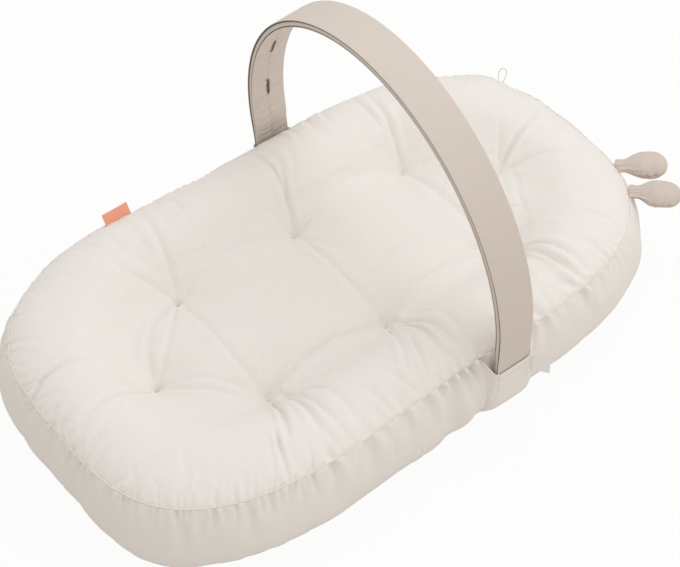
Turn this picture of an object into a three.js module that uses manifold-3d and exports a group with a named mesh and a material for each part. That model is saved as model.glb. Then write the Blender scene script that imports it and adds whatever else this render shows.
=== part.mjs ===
// Infant lounger: an oval fibre-filled cushion with eight tufts, a removable arch that stands in two side
// pockets, two stuffed ears, two bare tabs and a hanging loop.
// Millimetres. +X points to the head end, +Y to the far side, +Z up, from the middle of the flat base.
import * as THREE from "three";
import { mergeVertices } from "three/addons/utils/BufferGeometryUtils.js";
import Module from "manifold-3d";

const wasm = await Module();
wasm.setup();

// Clearances
const GAP = 0.3; // between two pieces that touch
const OVERRUN = 20; // how far a cut runs past what it cuts

// Cover cloth
const CLOTH = 1.2; // wall of the side band, base panel and pockets
const TOP_CLOTH = 1.8; // wall of the top panel, measured upwards because much of it slopes
const TOP_GAP = 0.5; // space under the top panel, measured upwards

// Outline of the cushion at its top seam: a power curve, drawn in at the waist
const HALF_LENGTH = 381;
const HALF_WIDTH = 227;
const FOOT_POWER = 3.26;
const HEAD_POWER = 3.16;
const WAIST_X = 38;
const WAIST_REACH = 191;
const WAIST_SHARE = 0.072;
const TAPER_SHARE = 0.016;

// Side of the cushion
const SEAM_Z = 118; // top edge of the side band
const BULGE = 15; // how far the side swells past the top seam
const BULGE_Z = 50;
const BASE_INSET = 30; // from the top seam in to the flat base
// Places on the side's profile: 0 at the top seam, 1 at the bulge, 2 where the flat base begins
const BASE_SEAM_SHARE = 1.74;
const SIDE_SHARES = [0, 0.3, 0.65, 1, 1.25, 1.5, BASE_SEAM_SHARE];
const BASE_SHARES = [0.5, 1]; // from the base seam to the flat base

// Top of the cushion
const CREST_Z = 138; // top of the padded rim
const CREST_INSET = 58; // from the top seam in to the rim's crest
const CROWN_POWER = 2.3;
const VALLEY_Z = 104; // foot of the rim, on the ring of tufts
const PAD_RISE = 4; // how far the middle pads swell above that
const CREASE_DEPTH = 5;
const CREASE_REACH = 16;
const DIMPLE_DEPTH = 16;
const DIMPLE_REACH = 32;
const DIMPLE_POWER = 1.3;
const RIM_RING_SHARES = [0, 0.07, 0.22, 0.44, 0.66, 0.86, 1]; // of the way from the seam to the tufts
const PAD_RING_SHARES = [0.14, 0.36, 0.66, 1]; // of the way from the tufts to the middle line
const CORNER_COLUMNS = 6; // grid steps between an end tuft and a corner tuft
const SIDE_COLUMNS = 5; // grid steps between two tufts of one side

// Tufts
const TUFT_SHIFT = 12; // the tufts' middle lies this far towards the head end
const TUFT_X = 171;
const TUFT_Y = 89;
const END_TUFT_X = 262;
const HEAD_TUFT_X = 248;
const THREAD_RADIUS = 1.2;
const TOP_TACK_RADIUS = 3;
const TOP_TACK_HEIGHT = 1.6;
const BASE_TACK_RADIUS = 4;
const BASE_TACK_HEIGHT = 1;
const BASE_DIMPLE_HEIGHT = 2.6; // the tie draws the base panel up by this much
const BASE_DIMPLE_RADIUS = 12;
const BASE_DIMPLE_TOP_RADIUS = 6;
const TACK_SIDES = 8;
const THREAD_SIDES = 6;

// Arch, and the pockets that hold its ends
const ARCH_X = 83; // middle of the arch at the pocket mouths
const ARCH_LEAN = 3.6; // degrees towards the foot end
const ARCH_WIDTH = 48;
const ARCH_THICKNESS = 6;
const BAND_CLOTH = 1.2;
const BAND_GROOVE = 0.6; // between the two bands' folded edges
const ARCH_RISE = 333; // from the pocket mouths to the crest, at mid thickness
const ARCH_FLARE = 3; // how far each leg swings out above its pocket
const FLARE_RISE = 65;
const FLARE_SHARES = [0, 0.25, 0.5, 0.75];
const ARCH_POWER = 2;
const ARCH_STEPS = 12; // from the widest point to the crest
const CORE_INSET = 1; // the springy strip stops this far inside the band's ends
const POCKET_MOUTH_Z = 98;
const POCKET_FLOOR_Z = 36; // underside of a pocket's hollow part
const POCKET_PLAY = 0.4; // round the leg, inside the pocket
const BUTTONHOLE_HEIGHTS = [97, 184]; // above the pocket mouths, on both legs
const BUTTONHOLE_LENGTH = 28;
const BUTTONHOLE_WIDTH = 6;
const SLIT_LENGTH = 24;
const SLIT_WIDTH = 1.6;
const BUTTONHOLE_SINK = 1.1; // from the core's face down to the stitched rim
const BUTTONHOLE_PROUD = 0.8; // how far the rim stands out of the inner band

// Ears
const EARS = [
  { name: "ear_far", turn: -14.3, heading: -34.8 }, // degrees round the outline, and from +X
  { name: "ear_near", turn: -25.7, heading: -44.6 },
];
const EAR_LENGTH = 60;
const EAR_WIDTH = 37;
const EAR_THICKNESS = 25;
const NECK_WIDTH = 18;
const NECK_ROUND_SHARES = [0, 0.35, 0.7, 1]; // round the neck's closed end
const NECK_HOLE_RADIUS = 2.5;
const EAR_CLOTH = 1;
const EAR_FILL_GAP = 0.5;
const EAR_LIFT = 1; // above the top seam
const EAR_SIDES = 12;
const EAR_LENGTH_SHARES = [0.12, 0.26, 0.42, 0.58, 0.72, 0.85, 0.95]; // along the ear, with the radii below
const EAR_SWELL_SHARES = [0, 0.16, 0.5, 0.84, 1, 0.86, 0.5]; // from the neck's radius to the full radius

// Tabs and hanging loop
const RIBBON = 0.5;
const RIBBON_FOLD = 0.3; // between a folded tab's two layers
const TAB_GAP = 0.4; // from a tab's sewn edge to what carries it
const CORAL_TAB_TURN = 103.4;
const CORAL_TAB_WIDTH = 35;
const CORAL_TAB_HEIGHT = 14;
const WHITE_TAB_WIDTH = 24;
const WHITE_TAB_HEIGHT = 22;
const WHITE_TAB_DROP = 4; // below the pocket mouth
const WHITE_TAB_SWING = 40; // degrees from the pocket's side wall towards its front
const TAB_PITCH = 60; // degrees above level, for what is sewn in the far top seam
const LOOP_TURN = 21.4;
const LOOP_WIDTH = 11;
const LOOP_HEIGHT = 18;
const LOOP_RADIUS = 0.7;
const LOOP_STEPS = 18;
const LOOP_SIDES = 8;
const LOOP_SHARES = [[-0.3, 0], [-0.36, 0.25], [-0.5, 0.66], [-0.34, 0.93], [0, 1]];

const SLOT_STEPS = 4; // per round end of a buttonhole
const FOLD_STEPS = 4; // round a ribbon's fold
const SLOPE_STEP = 1e-4; // in angle or share, where a slope is taken from two near places
const FINE_STEPS = 40; // places tried per grid column
const HALVINGS = 60; // of the range in which an inset is looked for

const colour = (hex, roughness) => new THREE.MeshStandardMaterial({ color: hex, roughness, metalness: 0 });
const COVER = () => colour(0xe8e4de, 0.85);
const FILLING = () => colour(0xf6f5f2, 1);
const LINEN = () => colour(0xd2c6bb, 0.9);
const CORE = () => colour(0xb9b4ac, 0.5);
const EAR = () => colour(0xcfc2b8, 0.9);
const THREAD = () => colour(0xefebe4, 0.8);
const BUTTONHOLE = () => colour(0x6b5a3e, 0.8);
const CORAL = () => colour(0xe8917a, 0.8);
const WHITE = () => colour(0xf2f0ec, 0.8);

const radians = THREE.MathUtils.degToRad;
const smooth = (share) => share * share * (3 - 2 * share);

// Solids

function solidOf(vertices, triangles) {
  const geometry = new THREE.BufferGeometry();
  geometry.setAttribute("position", new THREE.Float32BufferAttribute(vertices.flat(), 3));
  geometry.setIndex(triangles.flat());
  return solidOfGeometry(geometry);
}

// A closed geometry as a solid. A surface that was laid the wrong way round is turned.
function solidOfGeometry(source) {
  const bare = source.clone();
  bare.deleteAttribute("normal");
  bare.deleteAttribute("uv");
  const merged = mergeVertices(bare);
  const vertProperties = Float32Array.from(merged.attributes.position.array);
  const whole = [];
  for (let i = 0; i < merged.index.count; i += 3) {
    const [a, b, c] = [0, 1, 2].map((k) => merged.index.getX(i + k));
    if (a !== b && b !== c && c !== a) whole.push([a, b, c]);
  }
  const make = (faces) => {
    const triVerts = Uint32Array.from(faces.flat());
    return new wasm.Manifold(new wasm.Mesh({ numProp: 3, vertProperties, triVerts }));
  };
  const made = make(whole);
  return made.volume() < 0 ? make(whole.map(([a, b, c]) => [a, c, b])) : made;
}

function geometryOf(solid) {
  const { vertProperties, triVerts } = solid.getMesh();
  const geometry = new THREE.BufferGeometry();
  geometry.setAttribute("position", new THREE.BufferAttribute(Float32Array.from(vertProperties), 3));
  geometry.setIndex(new THREE.BufferAttribute(Uint32Array.from(triVerts), 1));
  geometry.computeVertexNormals();
  return geometry;
}

function piece(name, solid, material) {
  const mesh = new THREE.Mesh(geometryOf(solid), material);
  mesh.name = name;
  return mesh;
}

const placed = (solid, matrix) => solid.transform(matrix.elements);

// A surface through rows of points, each row a ring. It closes on itself, or its end rows are closed by caps,
// unless they have shrunk to a line already.
function loft(rows, { closed = false, cap = null } = {}) {
  const columns = rows[0].length;
  const at = (row, column) => (row % rows.length) * columns + (column % columns);
  const apart = (p, q) => (p[0] - q[0]) ** 2 + (p[1] - q[1]) ** 2;
  const triangles = [];
  for (let i = 0; i < (closed ? rows.length : rows.length - 1); i++)
    for (let j = 0; j < columns; j++) {
      const [a, b, c, d] = [at(i, j), at(i, j + 1), at(i + 1, j + 1), at(i + 1, j)];
      const [pa, pb, pc, pd] = [a, b, c, d].map((k) => rows[Math.floor(k / columns)][k % columns]);
      if (apart(pa, pc) < apart(pb, pd)) triangles.push([a, b, c], [a, c, d]);
      else triangles.push([a, b, d], [b, c, d]);
    }
  if (cap)
    for (const [p, q, r] of cap) {
      triangles.push([at(0, q), at(0, p), at(0, r)]);
      triangles.push([at(rows.length - 1, p), at(rows.length - 1, q), at(rows.length - 1, r)]);
    }
  return solidOf(rows.flat(), triangles);
}

// A prism on an XY outline, from one height to another.
function prism(shape, low, high, curveSegments) {
  const options = { depth: high - low, bevelEnabled: false, curveSegments };
  const geometry = new THREE.ExtrudeGeometry(shape, options);
  return solidOfGeometry(geometry.translate(0, 0, low));
}

function box([x0, y0, z0], [x1, y1, z1]) {
  const geometry = new THREE.BoxGeometry(x1 - x0, y1 - y0, z1 - z0);
  return solidOfGeometry(geometry.translate((x0 + x1) / 2, (y0 + y1) / 2, (z0 + z1) / 2));
}

// An upright round piece, or a cone with its top cut off, about a vertical line.
function post([x, y], bottomRadius, topRadius, low, high, sides) {
  const geometry = new THREE.CylinderGeometry(topRadius, bottomRadius, high - low, sides);
  return solidOfGeometry(geometry.rotateX(Math.PI / 2).translate(x, y, (low + high) / 2));
}

// Outline of the cushion

const powerAt = (x) => (x < 0 ? FOOT_POWER : HEAD_POWER);

function waistAt(x) {
  const near = (x - WAIST_X) / WAIST_REACH;
  return (1 - WAIST_SHARE * Math.exp(-near * near)) * (1 - (TAPER_SHARE * x) / HALF_LENGTH);
}

// The outline moved in by an inset, at an angle: a power curve |x/a|^p + |y/b|^p = 1 with the waist drawn in.
function outline(angle, inset) {
  const [c, s] = [Math.cos(angle), Math.sin(angle)];
  const exponent = 2 / powerAt(c);
  const x = (HALF_LENGTH - inset) * Math.sign(c) * Math.abs(c) ** exponent;
  return [x, (HALF_WIDTH - inset) * Math.sign(s) * Math.abs(s) ** exponent * waistAt(x)];
}

// The inset and the angle of the outline that passes through a point.
function placeOf(x, y) {
  const power = powerAt(x);
  const [across, along] = [Math.abs(x), Math.abs(y) / waistAt(x)];
  const reach = (inset) => [across / (HALF_LENGTH - inset), along / (HALF_WIDTH - inset)];
  let [low, high] = [0, HALF_WIDTH];
  for (let i = 0; i < HALVINGS; i++) {
    const middle = (low + high) / 2;
    const [p, q] = reach(middle);
    if (p ** power + q ** power < 1) low = middle;
    else high = middle;
  }
  const [p, q] = reach(low);
  return { inset: low, angle: Math.atan2(q ** (power / 2), Math.sign(x) * p ** (power / 2)) };
}

// Half the cushion's width at a place along it, with the side swollen by an outset.
function halfWidthAt(x, outset) {
  const power = powerAt(x);
  const across = (1 - (Math.abs(x) / (HALF_LENGTH + outset)) ** power) ** (1 / power);
  return (HALF_WIDTH + outset) * across * waistAt(x);
}

// Tufts: the head end first, then round by the far side. Each has its place on the outline.
const TUFTS = [
  [HEAD_TUFT_X, 0],
  [TUFT_X, TUFT_Y],
  [0, TUFT_Y],
  [-TUFT_X, TUFT_Y],
  [-END_TUFT_X, 0],
  [-TUFT_X, -TUFT_Y],
  [0, -TUFT_Y],
  [TUFT_X, -TUFT_Y],
].map(([x, y]) => [x + TUFT_SHIFT, y]);

// Creases run from each tuft to the next, and across between two tufts that face each other.
const CREASES = TUFTS.map((tuft, i) => [tuft, TUFTS[(i + 1) % TUFTS.length]]);
for (let i = 1; i < TUFTS.length / 2; i++) CREASES.push([TUFTS[i], TUFTS[TUFTS.length - i]]);

const FAR_TUFTS = TUFTS.slice(0, 5).map(([x, y]) => placeOf(x, y));

// The inset of the ring that runs through all tufts.
function tuftInset(angle) {
  const turn = Math.abs(Math.atan2(Math.sin(angle), Math.cos(angle)));
  const next = Math.max(1, FAR_TUFTS.findIndex((tuft) => tuft.angle >= turn));
  const [a, b] = [FAR_TUFTS[next - 1], FAR_TUFTS[next]];
  return a.inset + (b.inset - a.inset) * ((turn - a.angle) / (b.angle - a.angle));
}

// Angles that lie evenly along the rim between two angles, the first left out.
function evenAngles(from, to, count) {
  const fine = FINE_STEPS * count;
  const angles = Array.from({ length: fine + 1 }, (_, i) => from + ((to - from) * i) / fine);
  const lengths = [0];
  for (let i = 1; i <= fine; i++) {
    const [p, q] = [outline(angles[i - 1], CREST_INSET), outline(angles[i], CREST_INSET)];
    lengths.push(lengths[i - 1] + Math.hypot(q[0] - p[0], q[1] - p[1]));
  }
  return Array.from({ length: count }, (_, k) =>
    k === count - 1 ? to : angles[lengths.findIndex((length) => length >= (lengths[fine] * (k + 1)) / count)],
  );
}

const FAR_ANGLES = [0];
for (let i = 1; i < FAR_TUFTS.length; i++) {
  const count = i === 1 || i === FAR_TUFTS.length - 1 ? CORNER_COLUMNS : SIDE_COLUMNS;
  FAR_ANGLES.push(...evenAngles(FAR_TUFTS[i - 1].angle, FAR_TUFTS[i].angle, count));
}
const ANGLES = [...FAR_ANGLES, ...FAR_ANGLES.slice(1, -1).reverse().map((angle) => -angle)];

// Height of the cover's top face: the rim's crown, its fall to the tufts and the middle pads, less the
// creases and the dimples.
function coverHeight([x, y], inset, ring) {
  const seam = SEAM_Z + GAP + TOP_CLOTH;
  let z = VALLEY_Z + PAD_RISE * (1 - ((HALF_WIDTH - inset) / (HALF_WIDTH - ring)) ** 2);
  if (inset < CREST_INSET) z = seam + (CREST_Z - seam) * (1 - (1 - inset / CREST_INSET) ** CROWN_POWER);
  else if (inset < ring)
    z = CREST_Z + (VALLEY_Z - CREST_Z) * smooth((inset - CREST_INSET) / (ring - CREST_INSET));
  const toCrease = Math.min(...CREASES.map(([a, b]) => distanceToLine(x, y, a, b)));
  z -= CREASE_DEPTH * Math.exp(-((toCrease / CREASE_REACH) ** 2));
  const toTuft = Math.min(...TUFTS.map(([tx, ty]) => Math.hypot(x - tx, y - ty)));
  return z - DIMPLE_DEPTH * Math.exp(-((toTuft / DIMPLE_REACH) ** DIMPLE_POWER));
}

function distanceToLine(x, y, [ax, ay], [bx, by]) {
  const [dx, dy] = [bx - ax, by - ay];
  const share = ((x - ax) * dx + (y - ay) * dy) / (dx * dx + dy * dy);
  const t = Math.min(1, Math.max(0, share));
  return Math.hypot(x - ax - t * dx, y - ay - t * dy);
}

// Rings of the top face from the seam to the middle line, lowered by a drop.
function topRings(drop) {
  const insets = ANGLES.map((angle) => {
    const ring = tuftInset(angle);
    const rim = RIM_RING_SHARES.map((share) => share * ring);
    return [...rim, ...PAD_RING_SHARES.map((share) => ring + share * (HALF_WIDTH - ring))];
  });
  return insets[0].map((_, k) =>
    ANGLES.map((angle, j) => {
      const point = outline(angle, insets[j][k]);
      return [...point, coverHeight(point, insets[j][k], tuftInset(angle)) - drop];
    }),
  );
}

// The side's profile: [outset, height] at a place on it, moved in by an inset along its own normal.
function sidePoint(share, inset) {
  const profile = (t) => {
    if (t < 1) return [BULGE * (1 - (1 - t) ** 2), SEAM_Z + (BULGE_Z - SEAM_Z) * t];
    const angle = ((t - 1) * Math.PI) / 2;
    return [(BULGE + BASE_INSET) * Math.cos(angle) - BASE_INSET, BULGE_Z * (1 - Math.sin(angle))];
  };
  const [p, q] = [profile(Math.max(0, share - SLOPE_STEP)), profile(Math.min(2, share + SLOPE_STEP))];
  const length = Math.hypot(q[0] - p[0], q[1] - p[1]);
  const [out, z] = profile(share);
  return [out + ((q[1] - p[1]) / length) * inset, z - ((q[0] - p[0]) / length) * inset];
}

function sideRing(share, inset) {
  const [outset, z] = sidePoint(share, inset);
  return ANGLES.map((angle) => [...outline(angle, -outset), z]);
}

const middleLine = (z) => ANGLES.map((angle) => [...outline(angle, HALF_WIDTH), z]);

// Cushion

// The whole cushion's outer form, moved in by an inset at the side and the base and by a drop at the top.
function cushionForm(inset, drop) {
  const [, ...top] = topRings(drop);
  const sides = [...SIDE_SHARES, 2].map((share) => sideRing(share, inset));
  return loft([...top.reverse(), ...sides, middleLine(inset)]);
}

// The holes that the tufts' threads run through.
function threadHoles() {
  const radius = THREAD_RADIUS + GAP;
  return TUFTS.map((tuft) => post(tuft, radius, radius, -OVERRUN, CREST_Z + OVERRUN, THREAD_SIDES));
}

const without = (solid, cuts) => cuts.reduce((left, cut) => left.subtract(cut), solid);

// The hollow that a tie draws up in the base, a cone with its top cut off, grown by an amount.
function baseDimple(tuft, grown) {
  const [foot, top] = [BASE_DIMPLE_RADIUS + grown, BASE_DIMPLE_TOP_RADIUS + grown];
  return post(tuft, foot, top, -BASE_DIMPLE_HEIGHT, BASE_DIMPLE_HEIGHT + grown, TACK_SIDES);
}

function fibreFilling() {
  const dimples = TUFTS.map((tuft) => baseDimple(tuft, CLOTH + GAP));
  const block = cushionForm(CLOTH + GAP, TOP_CLOTH + TOP_GAP);
  return without(block, [...threadHoles(), ...dimples]);
}

function topPanel() {
  const panel = loft([...topRings(TOP_CLOTH).reverse(), ...topRings(0)]);
  return without(panel, threadHoles());
}

function sideBand() {
  const outer = SIDE_SHARES.map((share) => sideRing(share, 0));
  const inner = SIDE_SHARES.map((share) => sideRing(share, CLOTH));
  return loft([...outer, ...inner.reverse()], { closed: true });
}

// The band's two lengths meet behind the arch's legs.
function bandLength(band, low, high) {
  const [far, top] = [HALF_WIDTH + BULGE + OVERRUN, SEAM_Z + OVERRUN];
  return band.intersect(box([low, -far, -OVERRUN], [high, far, top]));
}

function basePanel() {
  const [p, q] = [sidePoint(BASE_SEAM_SHARE, 0), sidePoint(2, 0)];
  const first = BASE_SEAM_SHARE + ((2 - BASE_SEAM_SHARE) * GAP) / Math.hypot(q[0] - p[0], q[1] - p[1]);
  const shares = [first, ...BASE_SHARES.map((share) => first + (2 - first) * share)];
  const under = shares.map((share) => sideRing(share, 0));
  const over = shares.map((share) => sideRing(share, CLOTH));
  const flat = loft([middleLine(CLOTH), ...over.reverse(), ...under, middleLine(0)]);
  const floor = box([-HALF_LENGTH, -HALF_WIDTH, 0], [HALF_LENGTH, HALF_WIDTH, SEAM_Z]);
  const domes = TUFTS.map((tuft) => baseDimple(tuft, CLOTH).intersect(floor));
  const whole = domes.reduce((joined, dome) => joined.add(dome), flat);
  return without(whole, [...TUFTS.map((tuft) => baseDimple(tuft, 0)), ...threadHoles()]);
}

// A tuft's tie: a thread from the tack under the base up to the tack that is drawn into the top.
function tuftTie(tuft, form) {
  const { inset, angle } = placeOf(...tuft);
  const top = coverHeight(tuft, inset, tuftInset(angle)) + TOP_TACK_HEIGHT;
  const ceiling = BASE_DIMPLE_HEIGHT - GAP;
  const topTack = post(tuft, TOP_TACK_RADIUS, TOP_TACK_RADIUS, top - 2 * TOP_TACK_HEIGHT, top, TACK_SIDES);
  const [baseLow, radius] = [ceiling - BASE_TACK_HEIGHT, BASE_TACK_RADIUS];
  const baseTack = post(tuft, radius, radius, baseLow, ceiling, TACK_SIDES);
  const thread = post(tuft, THREAD_RADIUS, THREAD_RADIUS, baseLow, top, THREAD_SIDES);
  return thread.add(topTack.subtract(form)).add(baseTack);
}

// Arch

const POCKET_DEPTH = POCKET_MOUTH_Z - POCKET_FLOOR_Z;
const LEAN = new THREE.Matrix4().makeRotationY(-radians(ARCH_LEAN)).setPosition(ARCH_X, 0, POCKET_MOUTH_Z);
const LEG_SWEEP = ARCH_WIDTH / 2 + POCKET_DEPTH * Math.sin(radians(ARCH_LEAN)); // the legs' reach along X
const SIDE_AT_LEG = Math.max(...[-1, 0, 1].map((side) => halfWidthAt(ARCH_X + side * LEG_SWEEP, BULGE)));
const LEG_Y = SIDE_AT_LEG + POCKET_PLAY + ARCH_THICKNESS / 2; // mid thickness of a leg in its pocket
const LEG_END = GAP - POCKET_DEPTH + CLOTH; // a leg stands on its pocket's floor

// Half the arch's span at a height above the pocket mouths, at mid thickness.
function archHalfSpan(height) {
  if (height < FLARE_RISE) return LEG_Y + ARCH_FLARE * smooth(Math.max(0, height / FLARE_RISE));
  const share = Math.min(1, (height - FLARE_RISE) / (ARCH_RISE - FLARE_RISE));
  return (LEG_Y + ARCH_FLARE) * (1 - share ** ARCH_POWER) ** (1 / ARCH_POWER);
}

// Stations from the near leg's end over the crest to the far leg's end, as [y, height].
function archStations(legEnd) {
  const lower = [legEnd, ...FLARE_SHARES.map((share) => share * FLARE_RISE)];
  const upper = Array.from({ length: ARCH_STEPS }, (_, k) => {
    const angle = (Math.PI / 2) * (k / ARCH_STEPS);
    return FLARE_RISE + (ARCH_RISE - FLARE_RISE) * Math.sin(angle) ** (2 / ARCH_POWER);
  });
  const near = [...lower, ...upper].map((height) => [-archHalfSpan(height), height]);
  return [...near, [0, ARCH_RISE], ...near.map(([y, height]) => [-y, height]).reverse()];
}

// A section, as [across, outward] points, carried along the arch.
function archBand(points, legEnd) {
  const contour = points.map(([across, out]) => new THREE.Vector2(across, out));
  if (THREE.ShapeUtils.isClockWise(contour)) contour.reverse();
  const stations = archStations(legEnd);
  const rows = stations.map(([y, height], i) => {
    const [p, q] = [stations[Math.max(0, i - 1)], stations[Math.min(stations.length - 1, i + 1)]];
    const length = Math.hypot(q[0] - p[0], q[1] - p[1]);
    const [ny, nz] = [-(q[1] - p[1]) / length, (q[0] - p[0]) / length];
    return contour.map((point) => [point.x, y + ny * point.y, height + nz * point.y]);
  });
  return loft(rows, { cap: THREE.ShapeUtils.triangulateShape(contour, []) });
}

// A band of linen, its edges folded round the core. The side is 1 outside the core and -1 inside.
function foldedBand(side) {
  const [wide, deep, lip] = [ARCH_WIDTH / 2, ARCH_THICKNESS / 2, BAND_GROOVE / 2];
  const [innerWide, innerDeep] = [wide - BAND_CLOTH, deep - BAND_CLOTH];
  const half = [[wide, lip], [wide, deep], [-wide, deep], [-wide, lip]];
  const hollow = [[-innerWide, lip], [-innerWide, innerDeep], [innerWide, innerDeep], [innerWide, lip]];
  return archBand([...half, ...hollow].map(([across, out]) => [across, side * out]), LEG_END);
}

const CORE_HALF = ARCH_THICKNESS / 2 - BAND_CLOTH - GAP;

function archCore() {
  const wide = ARCH_WIDTH / 2 - BAND_CLOTH - GAP;
  const section = [[wide, -CORE_HALF], [wide, CORE_HALF], [-wide, CORE_HALF], [-wide, -CORE_HALF]];
  return archBand(section, LEG_END + CORE_INSET);
}

// A slot's outline with round ends.
function stadium(length, width) {
  const [half, radius] = [(length - width) / 2, width / 2];
  const shape = new THREE.Shape();
  shape.absarc(half, 0, radius, -Math.PI / 2, Math.PI / 2);
  shape.absarc(-half, 0, radius, Math.PI / 2, (3 * Math.PI) / 2);
  return shape.closePath();
}

// Frames of the buttonholes on the arch: X runs along the band, Y across it and Z to the inside.
function buttonholeFrames() {
  const across = new THREE.Vector3(1, 0, 0);
  const frame = (y, height, along) => {
    const inward = new THREE.Vector3().crossVectors(along, across);
    return new THREE.Matrix4().makeBasis(along, across, inward).setPosition(0, y, height);
  };
  const onLeg = (height, side) => {
    const spread = archHalfSpan(height - GAP) - archHalfSpan(height + GAP);
    const along = new THREE.Vector3(0, spread, -2 * side * GAP).normalize();
    return frame(side * archHalfSpan(height), height, along);
  };
  const far = BUTTONHOLE_HEIGHTS.map((height) => onLeg(height, 1));
  const near = BUTTONHOLE_HEIGHTS.map((height) => onLeg(height, -1));
  return [...far.reverse(), frame(0, ARCH_RISE, new THREE.Vector3(0, 1, 0)), ...near.reverse()];
}

const BUTTONHOLES = buttonholeFrames();

function innerBand() {
  const opening = stadium(BUTTONHOLE_LENGTH + 2 * GAP, BUTTONHOLE_WIDTH + 2 * GAP);
  const cut = prism(opening, 0, ARCH_THICKNESS + OVERRUN, SLOT_STEPS);
  const holes = BUTTONHOLES.map((frame) => placed(cut, frame));
  return without(foldedBand(-1), holes);
}

function buttonhole() {
  const rim = stadium(BUTTONHOLE_LENGTH, BUTTONHOLE_WIDTH);
  rim.holes.push(stadium(SLIT_LENGTH, SLIT_WIDTH));
  return prism(rim, CORE_HALF + BUTTONHOLE_SINK, ARCH_THICKNESS / 2 + BUTTONHOLE_PROUD, SLOT_STEPS);
}

// A pocket: a wall in front of the leg, two side walls back to the cushion, and a floor.
const POCKET_HALF = ARCH_WIDTH / 2 + POCKET_PLAY + CLOTH;
const POCKET_FRONT = LEG_Y + ARCH_THICKNESS / 2 + POCKET_PLAY + CLOTH;

function pocket(side, form) {
  const [back, hollowFront] = [HALF_WIDTH / 2, POCKET_FRONT - CLOTH];
  const hollowHalf = POCKET_HALF - CLOTH;
  const outer = box([-POCKET_HALF, back, -POCKET_DEPTH], [POCKET_HALF, POCKET_FRONT, 0]);
  const hollow = box([-hollowHalf, 0, CLOTH - POCKET_DEPTH], [hollowHalf, hollowFront, OVERRUN]);
  const shell = outer.subtract(hollow);
  return placed(side > 0 ? shell : shell.mirror([0, 1, 0]), LEAN).subtract(form);
}

// What is sewn into a seam stands in a frame of its own: X along the seam, its hinge line, and Z outwards.
function seamFrame(turn, pitch, standoff, lift) {
  const angle = radians(turn);
  const [p, q] = [outline(angle - SLOPE_STEP, 0), outline(angle + SLOPE_STEP, 0)];
  const along = new THREE.Vector3(q[0] - p[0], q[1] - p[1], 0).normalize();
  const level = new THREE.Vector3(along.y, -along.x, 0);
  const outward = level.clone().multiplyScalar(Math.cos(pitch)).setZ(Math.sin(pitch));
  const origin = new THREE.Vector3(...outline(angle, 0), lift).addScaledVector(outward, standoff);
  return standingFrame(along, outward, origin);
}

function standingFrame(along, outward, origin) {
  const up = new THREE.Vector3().crossVectors(outward, along);
  return new THREE.Matrix4().makeBasis(along, up, outward).setPosition(origin);
}

const RIM_Z = SEAM_Z + GAP + TOP_CLOTH;

// Ears

// Half an ear's outline as [radius, length] points, from its gathered neck end to its tip.
function earProfile() {
  const [neck, full] = [NECK_WIDTH / 2, EAR_WIDTH / 2];
  const round = neckRound();
  const opening = Math.asin(NECK_HOLE_RADIUS / neck);
  const roundEnd = NECK_ROUND_SHARES.map((share) => {
    const angle = opening + (Math.PI / 2 - opening) * share;
    return [neck * Math.sin(angle), -round * Math.cos(angle)];
  });
  const swell = EAR_LENGTH_SHARES.map((share, i) => [
    neck + (full - neck) * EAR_SWELL_SHARES[i],
    share * (EAR_LENGTH - round),
  ]);
  return [...roundEnd, ...swell, [0, EAR_LENGTH - round]];
}

function neckRound() {
  return (NECK_WIDTH * EAR_THICKNESS) / EAR_WIDTH / 2;
}

// An ear's frame: its rounded neck end reaches to the seam line, and its tip points along the heading.
function earFrame({ turn, heading }) {
  const seam = seamFrame(turn, 0, neckRound(), SEAM_Z + EAR_LIFT);
  const outward = new THREE.Vector3(Math.cos(radians(heading)), Math.sin(radians(heading)), 0);
  const along = new THREE.Vector3(-outward.y, outward.x, 0);
  return standingFrame(along, outward, new THREE.Vector3().setFromMatrixPosition(seam));
}

// The profile moved in along its own normals.
function insetProfile(profile, inset) {
  return profile.map(([radius, length], i) => {
    const [p, q] = [profile[Math.max(0, i - 1)], profile[Math.min(profile.length - 1, i + 1)]];
    if (radius === 0) return [0, length - inset];
    const span = Math.hypot(q[0] - p[0], q[1] - p[1]);
    return [radius - ((q[1] - p[1]) / span) * inset, length + ((q[0] - p[0]) / span) * inset];
  });
}

function turnedEar(profile) {
  const points = profile.map(([radius, length]) => new THREE.Vector2(radius, length));
  const geometry = new THREE.LatheGeometry(points, EAR_SIDES).rotateX(Math.PI / 2);
  return solidOfGeometry(geometry.scale(1, EAR_THICKNESS / EAR_WIDTH, 1));
}

function earSkin() {
  const outer = earProfile();
  return turnedEar([...outer, ...insetProfile(outer, EAR_CLOTH).reverse(), outer[0]]);
}

function earFilling() {
  const filling = insetProfile(earProfile(), EAR_CLOTH + EAR_FILL_GAP);
  return turnedEar([[0, filling[0][1]], ...filling]);
}

// Tabs: a ribbon folded in two, its cut ends at the seam.
function foldedTab(width, height) {
  const [inner, outer] = [RIBBON_FOLD / 2, RIBBON_FOLD / 2 + RIBBON];
  const shape = new THREE.Shape();
  shape.moveTo(outer, 0).lineTo(outer, height - outer);
  shape.absarc(0, height - outer, outer, 0, Math.PI).lineTo(-outer, 0).lineTo(-inner, 0);
  shape.lineTo(-inner, height - outer).absarc(0, height - outer, inner, Math.PI, 0, true);
  shape.lineTo(inner, 0).closePath();
  const flat = prism(shape, -width / 2, width / 2, FOLD_STEPS);
  const [x, y, z] = [new THREE.Vector3(1, 0, 0), new THREE.Vector3(0, 1, 0), new THREE.Vector3(0, 0, 1)];
  return placed(flat, new THREE.Matrix4().makeBasis(y, z, x));
}

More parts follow.
